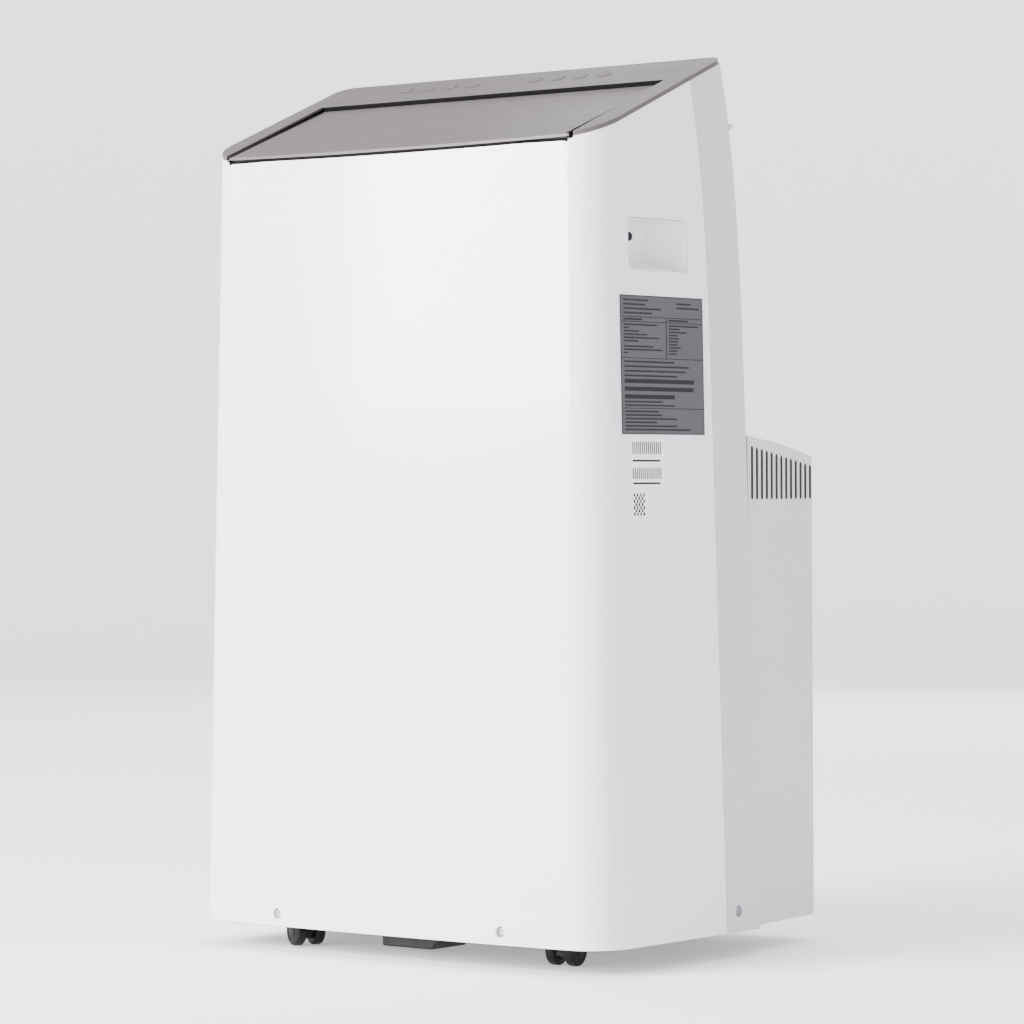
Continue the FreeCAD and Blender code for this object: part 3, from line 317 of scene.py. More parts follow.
# finish: material name, colour, clouded colour, roughness, further settings
PLASTICS = {
    "white_shell": ("gloss_white", (0.80, 0.785, 0.83), (0.775, 0.76, 0.81), 0.14,
                    {**SHELL_GRAIN, "coat": 0.25}),
    # Darker copy of the shell white for the rear parts: painted shade.
    "rear_white_painted_shade": ("rear_white_painted_shade", (0.52, 0.495, 0.535), (0.505, 0.48, 0.52), 0.2,
                   {**SHELL_GRAIN, "coat": 0.15}),
    "duct_white": ("duct_white", (0.78, 0.78, 0.80), (0.72, 0.72, 0.74), 0.4, {}),
    "black_plastic": ("black_moulding", (0.006, 0.006, 0.007), (0.015, 0.015, 0.015), 0.45,
                      {"grain": 1400.0, "bump": 0.00003, "scuff": 0.2}),
    "caster_body": ("nylon_black", (0.004, 0.004, 0.005), (0.008, 0.008, 0.008), 0.4, {"specular": 0.25}),
    "caster_tread": ("tread_black", (0.004, 0.004, 0.005), (0.02, 0.02, 0.02), 0.45,
                     {"scuff": 0.2, "specular": 0.25}),
    "rubber_black": ("rubber_black", (0.015, 0.015, 0.015), (0.03, 0.03, 0.03), 0.7, {}),
    "blower_grey": ("blower_grey", (0.05, 0.05, 0.055), (0.08, 0.08, 0.08), 0.5, {}),
    "board_green": ("board_green", (0.02, 0.16, 0.06), (0.03, 0.20, 0.08), 0.35, {}),
    "compressor_black": ("enamel_black", (0.012, 0.012, 0.014), (0.03, 0.03, 0.03), 0.25, {}),
    "button_grey": ("key_grey", (0.082, 0.072, 0.073), (0.072, 0.063, 0.064), 0.45, {"specular": 0.2}),
    # Black for the thin pieces in and under the lid's gaps: painted shade.
    "gap_shade_black": ("gap_shade_black", (0.003, 0.003, 0.003), (0.005, 0.005, 0.005), 0.8, {"specular": 0.1}),
    # Dark for the plates in the rear slots, painted shade, and for the grip screws.
    "vent_dark": ("vent_dark", (0.03, 0.03, 0.032), (0.05, 0.05, 0.05), 0.8, {"specular": 0.1}),
    "plate_grey": ("plate_grey", (0.072, 0.072, 0.079), (0.063, 0.063, 0.07), 0.5,
                   {"cloud": 0.4, "specular": 0.15}),
    "plate_print": ("plate_print", (0.012, 0.012, 0.014), (0.02, 0.02, 0.02), 0.6, {"specular": 0.15}),
    "sticker_white": ("sticker_white", (0.86, 0.86, 0.88), (0.82, 0.82, 0.84), 0.45, {}),
    "icon_pale": ("icon_pale", (0.20, 0.185, 0.187), (0.18, 0.168, 0.17), 0.5, {}),
    "icon_red": ("icon_red", (0.34, 0.09, 0.08), (0.30, 0.08, 0.07), 0.5, {}),
    "key_gap": ("key_gap", (0.03, 0.027, 0.027), (0.04, 0.036, 0.036), 0.7, {}),
}

STEEL = {"Colour": (0.55, 0.55, 0.56, 1), "Shade": (0.42, 0.42, 0.43, 1), "Streak": 0.4, "Gloss": 0.28}
TRIM = {"Colour": (0.098, 0.085, 0.086, 1), "Shade": (0.086, 0.074, 0.075, 1), "Streak": 0.35, "Gloss": 0.36}
COPPER = {"Colour": (0.72, 0.36, 0.22, 1), "Shade": (0.5, 0.24, 0.15, 1), "Streak": 0.3, "Gloss": 0.3}
# For the fins and the net, Shade is painted shade in the gaps between fins and between strands.
FINS = {"Colour": (0.72, 0.73, 0.74, 1), "Shade": (0.16, 0.16, 0.17, 1), "Pitch": 520.0, "Gloss": 0.35}
NET = {"Colour": (0.10, 0.105, 0.11, 1), "Shade": (0.02, 0.02, 0.022, 1), "Pitch": 640.0, "Gloss": 0.6}

# finish: material name, surface group, its settings, bump height, metallic, specular
LINED_FINISHES = {
    "frame_grey": ("satin_trim", BRUSHED, TRIM, 0.000004, 0.2, 0.16),
    "zinc_steel": ("zinc_sheet", BRUSHED, STEEL, 0.00001, 1.0, 0.5),
    "screw_steel": ("screw_zinc", BRUSHED, STEEL, 0.00001, 1.0, 0.5),
    "axle_steel": ("axle_bright", BRUSHED, STEEL, 0.00001, 1.0, 0.5),
    "copper": ("copper_tube", BRUSHED, COPPER, 0.00001, 1.0, 0.5),
    "fin_aluminium": ("coil_fins", RIBBED, FINS, 0.0006, 0.8, 0.5),
    "filter_net": ("filter_net", RIBBED, NET, 0.0003, 0.0, 0.5),
}


def colour4(colour):
    return (*colour, 1.0)


def surface_material(name, group, settings, bump, metallic=0.0, specular=0.5, coat=0.0):
    """Principled material fed by a surface group; settings fill the group's inputs."""
    material = bpy.data.materials.new(name)
    material.use_nodes = True
    tree = material.node_tree
    shader = tree.nodes["Principled BSDF"]
    node = tree.nodes.new("ShaderNodeGroup")
    node.node_tree = group
    for socket, value in settings.items():
        node.inputs[socket].default_value = value
    tree.links.new(node.outputs["Colour"], shader.inputs["Base Color"])
    tree.links.new(node.outputs["Roughness"], shader.inputs["Roughness"])
    relief = tree.nodes.new("ShaderNodeBump")
    relief.inputs["Strength"].default_value = 1.0
    relief.inputs["Distance"].default_value = bump
    tree.links.new(node.outputs["Height"], relief.inputs["Height"])
    tree.links.new(relief.outputs["Normal"], shader.inputs["Normal"])
    shader.inputs["Metallic"].default_value = metallic
    shader.inputs["Coat Weight"].default_value = coat
    shader.inputs["Coat Roughness"].default_value = COAT_ROUGHNESS
    shader.inputs["Specular IOR Level"].default_value = specular
    return material


def plastic(name, colour, shade, gloss, grain=900.0, bump=0.00001, cloud=0.2, scuff=0.05,
            coat=0.0, specular=0.5):
    settings = {"Colour": colour4(colour), "Shade": colour4(shade), "Cloud": cloud,
                "Gloss": gloss, "Scuff": scuff, "Grain": grain}
    return surface_material(name, MOULDING, settings, bump, specular=specular, coat=coat)


def make_materials():
    made = {}
    for finish, (name, colour, shade, gloss, more) in PLASTICS.items():
        made[finish] = plastic(name, colour, shade, gloss, **more)
    for finish, settings in LINED_FINISHES.items():
        made[finish] = surface_material(*settings)
    return made


MATERIALS = make_materials()


def paint_frame():
    """Gives every carried-over node the finish of its material slot."""
    for entry in RECORD["subparts"]:
        part = frame["nodes"][entry["node"]]
        finish = MATERIALS[entry["material_slot"]]
        if not part.material_slots:
            part.data.materials.append(finish)
        for slot in part.material_slots:
            slot.material = finish


# ---- modelling helpers ------------------------------------------------------
NEARLY_ALONG = 0.9
CORNER_STEPS = 4
ROUND_SIDES = 32
MERGE_DISTANCE = 0.000002
FLAT_ANGLE = 0.03
EASE_ANGLE = 32.0
EASE_SEGMENTS = 2
AREA_WEIGHT = 100


def node_box(node):
    low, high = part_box(node)
    return Vector(low), Vector(high)


def body_of_node(node):
    for body, members in RECORD["behaviour"]["bodies"].items():
        if node in members:
            return body
    return "root"


def skin_of(node):
    """Search tree over a CAD node's faces."""
    shape = bmesh.new()
    shape.from_mesh(frame["nodes"][node].data)
    tree = BVHTree.FromBMesh(shape)
    shape.free()
    return tree


def frame_at(point, x_axis, z_axis):
    """Matrix that puts local X and Z along two directions at a point."""
    z = z_axis.normalized()
    x = (x_axis - x_axis.dot(z) * z).normalized()
    turn = Matrix((x, z.cross(x), z)).transposed().to_4x4()
    return Matrix.Translation(point) @ turn


def once(items):
    """Items in the order in which they first come, each one time."""
    return list(dict.fromkeys(items))


def new_edges(made):
    return once(edge for vert in made["verts"] for edge in vert.link_edges)


def new_faces(made):
    return once(face for vert in made["verts"] for face in vert.link_faces)


def add_block(shape, place, size, corner=0.0, edge=0.0):
    """Box centred on a place, with rounded upright corners and a softened rim."""
    made = bmesh.ops.create_cube(shape, size=1.0, matrix=place @ Matrix.Diagonal((*size, 1.0)))
    up = (place.to_3x3() @ Z_AXIS).normalized()
    faces = new_faces(made)
    if corner:
        upright = [e for e in new_edges(made)
                   if abs((e.verts[0].co - e.verts[1].co).normalized().dot(up)) > NEARLY_ALONG]
        cut = bmesh.ops.bevel(shape, geom=upright, offset=corner, offset_type="OFFSET",
                              segments=CORNER_STEPS, profile=0.5, affect="EDGES", material=-1,
                              clamp_overlap=True)
        faces = once([face for face in faces if face.is_valid] + cut["faces"])
    if edge:
        ease_rim(shape, faces, up, edge, segments=2)


def ease_rim(shape, faces, up, width, segments):
    """Bevels the edges of those faces that look up."""
    top = [face for face in faces if face.is_valid and face.normal.dot(up) > NEARLY_ALONG]
    rim = once(edge for face in top for edge in face.edges)
    bmesh.ops.bevel(shape, geom=rim, offset=width, offset_type="OFFSET", segments=segments,
                    profile=0.5, affect="EDGES", material=-1, clamp_overlap=True)


def add_cylinder(shape, place, radius, length, edge):
    """Cylinder standing on a place along its local Z, with a rounded far rim."""
    centre = place @ Matrix.Translation((0, 0, length / 2))
    made = bmesh.ops.create_cone(shape, cap_ends=True, segments=ROUND_SIDES, radius1=radius,
                                 radius2=radius, depth=length, matrix=centre)
    up = (place.to_3x3() @ Z_AXIS).normalized()
    faces = new_faces(made)
    ease_rim(shape, faces, up, edge, segments=3)


def add_ring(shape, place, radius, width, height, start=0.0, sweep=360.0, steps=40):
    """Flat band bent round the local Z, a full ring or an arc."""
    begin = Matrix.Rotation(math.radians(start), 4, "Z")
    lift = Matrix.Translation((radius, 0, height / 2)) @ Matrix.Rotation(math.radians(90), 4, "X")
    profile = place @ begin @ lift @ Matrix.Diagonal((width, height, 1, 1))
    made = bmesh.ops.create_grid(shape, x_segments=1, y_segments=1, size=0.5, matrix=profile)
    edges = new_edges(made)
    bmesh.ops.delete(shape, geom=list(edges[0].link_faces), context="FACES_ONLY")
    full = sweep >= 360.0
    spun = bmesh.ops.spin(shape, geom=made["verts"] + edges, cent=place.translation,
                          axis=place.to_3x3() @ Z_AXIS, angle=math.radians(sweep), steps=steps,
                          use_merge=full)
    if not full:
        ends = edges + [g for g in spun["geom_last"] if isinstance(g, bmesh.types.BMEdge)]
        bmesh.ops.holes_fill(shape, edges=ends, sides=4)


def finish_piece(shape, name, finish, body, smooth=35.0):
    """Closes a bmesh into a named piece that rides on a body."""
    bmesh.ops.recalc_face_normals(shape, faces=shape.faces[:])
    for face in shape.faces:
        face.smooth = True
    mesh = bpy.data.meshes.new(name)
    shape.to_mesh(mesh)
    shape.free()
    mesh.set_sharp_from_angle(angle=math.radians(smooth))
    mesh.materials.append(MATERIALS[finish])
    piece = bpy.data.objects.new(name, mesh)
    bpy.context.collection.objects.link(piece)
    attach(piece, body)
    return piece


def soften(node, width):
    """Stands in for a CAD node: the same skin with its sharp edges eased."""
    source = frame["nodes"][node]
    shape = bmesh.new()
    shape.from_mesh(source.data)
    bmesh.ops.remove_doubles(shape, verts=shape.verts[:], dist=MERGE_DISTANCE)
    bmesh.ops.dissolve_limit(shape, angle_limit=math.radians(FLAT_ANGLE),
                             verts=shape.verts[:], edges=shape.edges[:])
    entry = [e for e in RECORD["subparts"] if e["node"] == node][0]
    piece = finish_piece(shape, node + "_finished", entry["material_slot"], body_of_node(node),
                         smooth=EASE_ANGLE)
    ease = piece.modifiers.new("ease", "BEVEL")
    ease.width = width
    ease.segments = EASE_SEGMENTS
    ease.limit_method = "ANGLE"
    ease.angle_limit = math.radians(EASE_ANGLE)
    ease.use_clamp_overlap = True
    level = piece.modifiers.new("level", "WEIGHTED_NORMAL")
    level.mode = "FACE_AREA"
    level.weight = AREA_WEIGHT
    level.keep_sharp = True
    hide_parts(node)
    return piece


# ---- softened shells --------------------------------------------------------
# node: width of its eased edges
SOFT_EDGES = {
    "front_shell": 0.0006, "rear_cover": 0.0005, "rear_housing": 0.0006, "top_frame": 0.0004,
    "louvre_flap": 0.0005, "exhaust_collar": 0.0005, "skid_foot": 0.0004,
    "handle_cup_left": 0.0005, "handle_cup_right": 0.0005,
}
REAR_MOULDINGS = ("rear_cover", "rear_housing")


def add_soft_shells():
    """Eased copies of the outer mouldings, the rear ones in a darker, less glossy white whose darker colour is
    painted shade.
    """
    for node, width in SOFT_EDGES.items():
        piece = soften(node, width)
        if node in REAR_MOULDINGS:
            piece.data.materials[0] = MATERIALS["rear_white_painted_shade"]
    # The upper grille takes the same darker white: painted shade.
    frame["nodes"]["upper_intake_grille"].material_slots[0].material = MATERIALS["rear_white_painted_shade"]


# ---- sloping top: painted shade in and under the lid's gaps -------------------
TOP_HEIGHT = 0.760
TOP_REAR_Y = 0.027
TOP_RISE = 0.4058
SLOPE = math.atan(TOP_RISE)
SLOPE_OUT = Vector((0.0, -math.sin(SLOPE), math.cos(SLOPE)))

LID_HALF = 0.1865
LID_GAP = 0.0035
LID_REAR_Y = -0.031
LID_SUNK_FRONT, LID_SUNK_REAR = 0.0006, 0.0034

# Black strip in the lid's front gap: painted shade.
FRONT_GAP_SHADE = (2 * LID_HALF - 0.002, 0.0029, 0.0036)
FRONT_GAP_SHADE_Y, FRONT_GAP_SHADE_DEPTH = -0.1622, 0.0046
FRONT_GAP_SHADE_CUTS = 40
FRONT_BOW = 3.0

# Upright black strip in each side gap and a thin black strip on the lid's side edge: painted shade and painted
# shadow.
SIDE_GAP_SHADE_THICK, SIDE_GAP_SHADE_HEIGHT = 0.0003, 0.0048
SIDE_GAP_SHADE_DEPTH = 0.0028
SIDE_GAP_SHADE_FRONT_Y, SIDE_GAP_SHADE_REAR_Y = -0.1565, LID_REAR_Y - 0.002
EDGE_SHADOW_WIDE, EDGE_SHADOW_THICK = 0.0026, 0.0002
EDGE_SHADOW_RISE = 0.00008

# Thin dark walls inside the opening's edges: painted shade seen through the lid's gaps.
WALL_SHADE_THICK = 0.0003
WALL_SHADE_FRONT_Y = -0.150
WALL_SHADE_REAR_DEPTH, WALL_SHADE_REAR_HEIGHT = 0.0042, 0.0076
WALL_SHADE_SIDE_DEPTH, WALL_SHADE_SIDE_HEIGHT = 0.0052, 0.0070
OPENING_HALF = LID_HALF + LID_GAP

# y, depth below the top and width of each dark bar across the opening, painted shade under the gaps
OPENING_BARS = ((-0.1430, 0.0133, 0.026), (-0.0345, 0.0148, 0.0085))
OPENING_BAR_THICK = 0.0008
OPENING_BAR_LENGTH = 2 * OPENING_HALF - 0.012


def slope_point(x, y, depth):
    """Point under the sloping top: y is read on the top plane, depth goes inward."""
    surface = Vector((x, y, TOP_HEIGHT - (TOP_REAR_Y - y) * math.tan(SLOPE)))
    return surface - SLOPE_OUT * depth


def slope_frame(x, y, depth):
    return frame_at(slope_point(x, y, depth), X_AXIS, SLOPE_OUT)


def add_front_gap_shade():
    """Black strip under the lid's front edge, bowed like the front: painted shade in the front gap."""
    shape = bmesh.new()
    place = slope_frame(0.0, FRONT_GAP_SHADE_Y, FRONT_GAP_SHADE_DEPTH)
    made = bmesh.ops.create_cube(shape, size=1.0, matrix=place @ Matrix.Diagonal((*FRONT_GAP_SHADE, 1.0)))
    along = [e for e in new_edges(made)
             if abs((e.verts[0].co - e.verts[1].co).normalized().x) > NEARLY_ALONG]
    bmesh.ops.subdivide_edges(shape, edges=along, cuts=FRONT_GAP_SHADE_CUTS, use_grid_fill=True)
    for vert in shape.verts:
        vert.co.y += FRONT_BOW - math.sqrt(FRONT_BOW ** 2 - vert.co.x ** 2)
    finish_piece(shape, "lid_front_gap_shade", "gap_shade_black", "lid")


def add_side_gap_shades():
    """Upright black strip in each side gap of the lid, and a thin black strip lying on the lid's edge beside it:
    painted shade in the gap and painted shadow on the lid.
    """
    shape = bmesh.new()
    for side in (-1, 1):
        x = side * (LID_HALF + SIDE_GAP_SHADE_THICK / 2)
        start = slope_point(x, SIDE_GAP_SHADE_FRONT_Y, LID_SUNK_FRONT + SIDE_GAP_SHADE_DEPTH)
        end = slope_point(x, SIDE_GAP_SHADE_REAR_Y, LID_SUNK_REAR + SIDE_GAP_SHADE_DEPTH)
        along = end - start
        place = frame_at((start + end) / 2, X_AXIS, X_AXIS.cross(along))
        add_block(shape, place, (SIDE_GAP_SHADE_THICK, along.length, SIDE_GAP_SHADE_HEIGHT))
        edge_shadow = Matrix.Translation((-side * EDGE_SHADOW_WIDE / 2, 0, SIDE_GAP_SHADE_DEPTH + EDGE_SHADOW_RISE))
        add_block(shape, place @ edge_shadow, (EDGE_SHADOW_WIDE, along.length, EDGE_SHADOW_THICK))
    finish_piece(shape, "lid_side_gap_shades", "gap_shade_black", "lid")


def add_opening_wall_shade():
    """Thin dark walls round the lid's opening, at the rear and at both sides: painted shade seen through the lid's
    gaps.
    """
    shape = bmesh.new()
    rear = slope_frame(0.0, LID_REAR_Y + LID_GAP - WALL_SHADE_THICK, WALL_SHADE_REAR_DEPTH)
    add_block(shape, rear, (2 * OPENING_HALF - 0.0004, WALL_SHADE_THICK, WALL_SHADE_REAR_HEIGHT))
    middle_y = (WALL_SHADE_FRONT_Y + LID_REAR_Y + LID_GAP) / 2
    length = (LID_REAR_Y + LID_GAP - WALL_SHADE_FRONT_Y) / math.cos(SLOPE)
    for side in (-1, 1):
        place = slope_frame(side * (OPENING_HALF - WALL_SHADE_THICK), middle_y, WALL_SHADE_SIDE_DEPTH)
        add_block(shape, place, (WALL_SHADE_THICK, length - 0.001, WALL_SHADE_SIDE_HEIGHT))
    finish_piece(shape, "opening_wall_shade", "gap_shade_black", "root")


def add_opening_floor_shade():
    """Dark bars below the lid's front and rear gaps: painted shade seen through them."""
    shape = bmesh.new()
    for y, depth, wide in OPENING_BARS:
        add_block(shape, slope_frame(0.0, y, depth), (OPENING_BAR_LENGTH, wide, OPENING_BAR_THICK))
    finish_piece(shape, "opening_floor_shade", "gap_shade_black", "root")


# ---- sloping top: keys --------------------------------------------------------
KEY_R = 0.006
KEY_Y = 0.002
KEY_PROUD = 0.0003
KEY_GAP_OUT, KEY_GAP_WIDTH, KEY_GAP_RISE = 0.0004, 0.0007, 0.00006
ICON_RISE = 0.00012
FINE_LINE = 0.0005
BOLD_LINE = 0.0006


def key_frame(number):
    """Centre of a key's cap, with local Z out of the cap."""
    low_corner, high_corner = node_box("button_%d" % number)
    return slope_frame((low_corner.x + high_corner.x) / 2, KEY_Y, -KEY_PROUD)


def stroke(shape, place, x0, y0, x1, y1, width=BOLD_LINE):
    """Straight raised line between two points of a flat icon."""
    start, end = Vector((x0, y0, 0)), Vector((x1, y1, 0))
    along = end - start
    turn = Matrix.Rotation(math.atan2(along.y, along.x), 4, "Z")
    spot = place @ Matrix.Translation((start + end) / 2) @ turn
    add_block(shape, spot, (along.length, width, 2 * ICON_RISE))


def icon_fan(shape, place):
    add_ring(shape, place, 0.0006, BOLD_LINE, ICON_RISE)
    for blade in (0, 120, 240):
        spot = place @ Matrix.Rotation(math.radians(blade), 4, "Z") @ Matrix.Translation((0.0016, 0, 0))
        add_ring(shape, spot, 0.0011, FINE_LINE, ICON_RISE, start=20, sweep=200, steps=14)


def icon_flake(shape, place):
    reach = 0.0027
    for angle in (0, 60, 120):
        c, s = reach * math.cos(math.radians(angle)), reach * math.sin(math.radians(angle))
        stroke(shape, place, -c, -s, c, s, FINE_LINE)


def icon_timer(shape, place):
    add_ring(shape, place, 0.0025, FINE_LINE, ICON_RISE)
    stroke(shape, place, 0, 0, 0, 0.0018)
    stroke(shape, place, 0, 0, 0.0013, 0)


def icon_drop(shape, place):
    bowl = place @ Matrix.Translation((0, -0.0006, 0))
    add_ring(shape, bowl, 0.0017, FINE_LINE, ICON_RISE, start=150, sweep=240, steps=20)
    for side in (-1, 1):
        stroke(shape, place, side * 0.0015, 0.0002, 0, 0.0028)


def icon_down(shape, place):
    for side in (-1, 1):
        stroke(shape, place, side * 0.002, 0.001, 0, -0.0012)


def icon_up(shape, place):
    for side in (-1, 1):
        stroke(shape, place, side * 0.002, -0.001, 0, 0.0012)


def icon_moon(shape, place):
    add_ring(shape, place, 0.0024, FINE_LINE, ICON_RISE, start=60, sweep=240, steps=24)
    hollow = place @ Matrix.Translation((0.0012, 0, 0))
    add_ring(shape, hollow, 0.00205, FINE_LINE, ICON_RISE, start=88, sweep=184, steps=20)


def icon_power(shape, place):
    add_ring(shape, place, 0.0023, BOLD_LINE, ICON_RISE, start=125, sweep=290, steps=28)
    stroke(shape, place, 0, 0.0005, 0, 0.003)


ICONS = (icon_timer, icon_fan, icon_flake, icon_drop, icon_down, icon_up, icon_moon, icon_power)


def add_keys():
    """Icon on each key, and the dark gap in the top round it."""
    for number, draw in enumerate(ICONS, 1):
        place = key_frame(number)
        shape = bmesh.new()
        draw(shape, place)
        colour = "icon_red" if draw is icon_power else "icon_pale"
        body = body_of_node("button_%d" % number)
        finish_piece(shape, "key_icon_%d" % number, colour, body)
        shape = bmesh.new()
        gap = place @ Matrix.Translation((0, 0, -KEY_PROUD))
        add_ring(shape, gap, KEY_R + KEY_GAP_OUT, KEY_GAP_WIDTH, KEY_GAP_RISE)
        finish_piece(shape, "key_surround_%d" % number, "key_gap", "root")


# ---- side: rating plate and stickers ------------------------------------------
SIDE_TAPER = 0.0172
BODY_BOTTOM = 0.0216
HALF_WIDTH = 0.225
PRINT_THICK = 0.00004

PLATE_Y = (-0.127, -0.012)
PLATE_Z = (0.440, 0.554)
PLATE_THICK = 0.00018
PLATE_CORNER = 0.0012
# Print on the plate, in shares of its width and height from its top left.
# Long rules: height down the plate
PLATE_RULES = (0.155, 0.190, 0.452, 0.812)
RULE_THICK = 0.005
# Blocks of lines: left edge, top line, line spacing, lengths of the lines, line thickness
PLATE_BLOCKS = (
    (0.04, 0.035, 0.031, (0.30, 0.26, 0.45, 0.34), 0.012),
    (0.68, 0.050, 0.031, (0.18, 0.27), 0.012),
    (0.04, 0.173, 0.0, (0.22,), 0.013),
    (0.58, 0.173, 0.0, (0.24,), 0.013),
    (0.04, 0.212, 0.0235, (0.40, 0.06, 0.18, 0.28, 0.42, 0.17), 0.011),
    (0.04, 0.368, 0.0235, (0.35, 0.46, 0.05), 0.011),
    (0.58, 0.212, 0.0225, (0.36, 0.13, 0.22, 0.10, 0.12, 0.11, 0.11, 0.14, 0.10, 0.09), 0.011),
    (0.04, 0.478, 0.0335, (0.60, 0.78, 0.74, 0.63), 0.012),
    (0.04, 0.617, 0.0560, (0.84, 0.83, 0.60), 0.030),
    (0.04, 0.765, 0.0260, (0.45, 0.60), 0.011),
    (0.04, 0.835, 0.0260, (0.40, 0.44, 0.62, 0.38, 0.62, 0.78), 0.012),
)
# Divider and border bars: left edge, right edge, middle height, height
PLATE_BARS = (
    (0.545, 0.555, 0.303, 0.296),
    (0.0, 1.0, 0.003, 0.006), (0.0, 1.0, 0.997, 0.006),
    (0.0, 0.007, 0.5, 0.98), (0.993, 0.993 + 0.007, 0.5, 0.98),
)

# y and z ranges of the two stickers
STICKERS = ((-0.117, -0.070, 0.3965, 0.4375), (-0.117, -0.089, 0.3665, 0.3950))
STICKER_THICK = 0.0001
STICKER_CORNER = 0.0008
BAR_ROWS = ((0.4240, 0.4340), (0.4035, 0.4125))
BAR_COUNT = 15
BAR_FIRST_Y, BAR_PITCH, BAR_WIDTH = -0.1135, 0.0027, 0.0014
LINE_HEIGHTS = (0.4185, 0.4000)
LINE_LENGTH, LINE_HALF_THICK = 0.038, 0.0008
CHEQUER_CELLS = 7
CHEQUER_Y, CHEQUER_Z = -0.1130, 0.3735
CELL_WIDE, CELL_TALL = 0.0022, 0.0026


def side_frame(y, z, out=0.0):
    """Place on the right side face: local X runs to the rear, local Y up."""
    x = HALF_WIDTH - SIDE_TAPER * (z - BODY_BOTTOM)
    normal = Vector((1.0, 0.0, SIDE_TAPER)).normalized()
    return frame_at(Vector((x, y, z)) + normal * out, Y_AXIS, normal)


def side_patch(shape, y0, y1, z0, z1, out, thick, corner=0.0):
    place = side_frame((y0 + y1) / 2, (z0 + z1) / 2, out + thick / 2)
    add_block(shape, place, (y1 - y0, z1 - z0, thick), corner)


def sticker_print_patch(shape, y0, y1, z0, z1):
    side_patch(shape, y0, y1, z0, z1, STICKER_THICK, PRINT_THICK)


def plate_bar(shape, u0, u1, v, height):
    """Bar of print given as shares of the plate's width and height from its top left."""
    wide, tall = PLATE_Y[1] - PLATE_Y[0], PLATE_Z[1] - PLATE_Z[0]
    y0, y1 = PLATE_Y[0] + u0 * wide, PLATE_Y[0] + u1 * wide
    z = PLATE_Z[1] - v * tall
    half = height * tall / 2
    side_patch(shape, y0, y1, z - half, z + half, PLATE_THICK, PRINT_THICK)


def add_rating_plate():
    """Grey plate with rules and bars in place of print."""
    shape = bmesh.new()
    side_patch(shape, *PLATE_Y, *PLATE_Z, 0.0, PLATE_THICK, corner=PLATE_CORNER)
    finish_piece(shape, "rating_plate", "plate_grey", "root")
    shape = bmesh.new()
    for u, v, step, widths, height in PLATE_BLOCKS:
        for row, width in enumerate(widths):
            plate_bar(shape, u, u + width, v + row * step, height)
    for v in PLATE_RULES:
        plate_bar(shape, 0.0, 1.0, v, RULE_THICK)
    for bar in PLATE_BARS:
        plate_bar(shape, *bar)
    finish_piece(shape, "rating_plate_print", "plate_print", "root")


def add_stickers():
    """Two white stickers with even bars, plain lines and a chequered patch."""
    shape = bmesh.new()
    for sticker in STICKERS:
        side_patch(shape, *sticker, 0.0, STICKER_THICK, corner=STICKER_CORNER)
    finish_piece(shape, "white_stickers", "sticker_white", "root")
    shape = bmesh.new()
    for z0, z1 in BAR_ROWS:
        for line in range(BAR_COUNT):
            y = BAR_FIRST_Y + line * BAR_PITCH
            sticker_print_patch(shape, y, y + BAR_WIDTH, z0, z1)
    for z in LINE_HEIGHTS:
        sticker_print_patch(shape, BAR_FIRST_Y, BAR_FIRST_Y + LINE_LENGTH,
                            z - LINE_HALF_THICK, z + LINE_HALF_THICK)
    for row in range(CHEQUER_CELLS):
        for column in range(CHEQUER_CELLS):
            if (row + column) % 2 == 0:
                y, z = CHEQUER_Y + column * CELL_WIDE, CHEQUER_Z + row * CELL_TALL
                sticker_print_patch(shape, y, y + CELL_WIDE, z, z + CELL_TALL)
    finish_piece(shape, "sticker_print", "plate_print", "root")


# ---- screws -------------------------------------------------------------------
OUTSIDE_X, OUTSIDE_Y = 0.3, 0.5
SCREW_R, SCREW_RISE, SCREW_EDGE = 0.0038, 0.0022, 0.0007
SCREW_SUNK = 0.0006
CROSS_LENGTH, CROSS_WIDTH, CROSS_THICK = 1.2 * SCREW_R, 0.0009, 0.0002
CROSS_RISE = SCREW_RISE + 0.00005
GRIP_SCREW_Y = -0.0765
GRIP_SCREW_Z = 0.6045
# x and z of the screws round the rear cover
COVER_SCREWS = ((-0.190, 0.470), (0.190, 0.470), (-0.184, 0.600), (0.184, 0.600),
                (-0.176, 0.712), (0.176, 0.712))


def add_pan_screw(shape, point, x_axis, normal):
    """Pan head with a raised cross, its foot a little below the surface."""
    place = frame_at(point - normal * SCREW_SUNK, x_axis, normal)
    add_cylinder(shape, place, SCREW_R, SCREW_RISE, SCREW_EDGE)
    cross = place @ Matrix.Translation((0, 0, CROSS_RISE))
    add_block(shape, cross, (CROSS_LENGTH, CROSS_WIDTH, CROSS_THICK))
    add_block(shape, cross, (CROSS_WIDTH, CROSS_LENGTH, CROSS_THICK))


def add_grip_screws():
    """Small dark screw in the deep wall of each hand grip."""
    for side, name in ((-1, "left"), (1, "right")):
        start = Vector((side * OUTSIDE_X, GRIP_SCREW_Y, GRIP_SCREW_Z))
        point, normal, _, _ = skin_of("handle_cup_" + name).ray_cast(start, X_AXIS * -side)
        shape = bmesh.new()
        add_pan_screw(shape, point, Y_AXIS, normal)
        finish_piece(shape, "grip_screw_" + name, "vent_dark", "root")


def add_cover_screws():
    skin = skin_of("rear_cover")
    shape = bmesh.new()
    for x, z in COVER_SCREWS:
        point, normal, _, _ = skin.ray_cast(Vector((x, OUTSIDE_Y, z)), -Y_AXIS)
        add_pan_screw(shape, point, X_AXIS, normal)
    finish_piece(shape, "cover_screws", "screw_steel", "root")


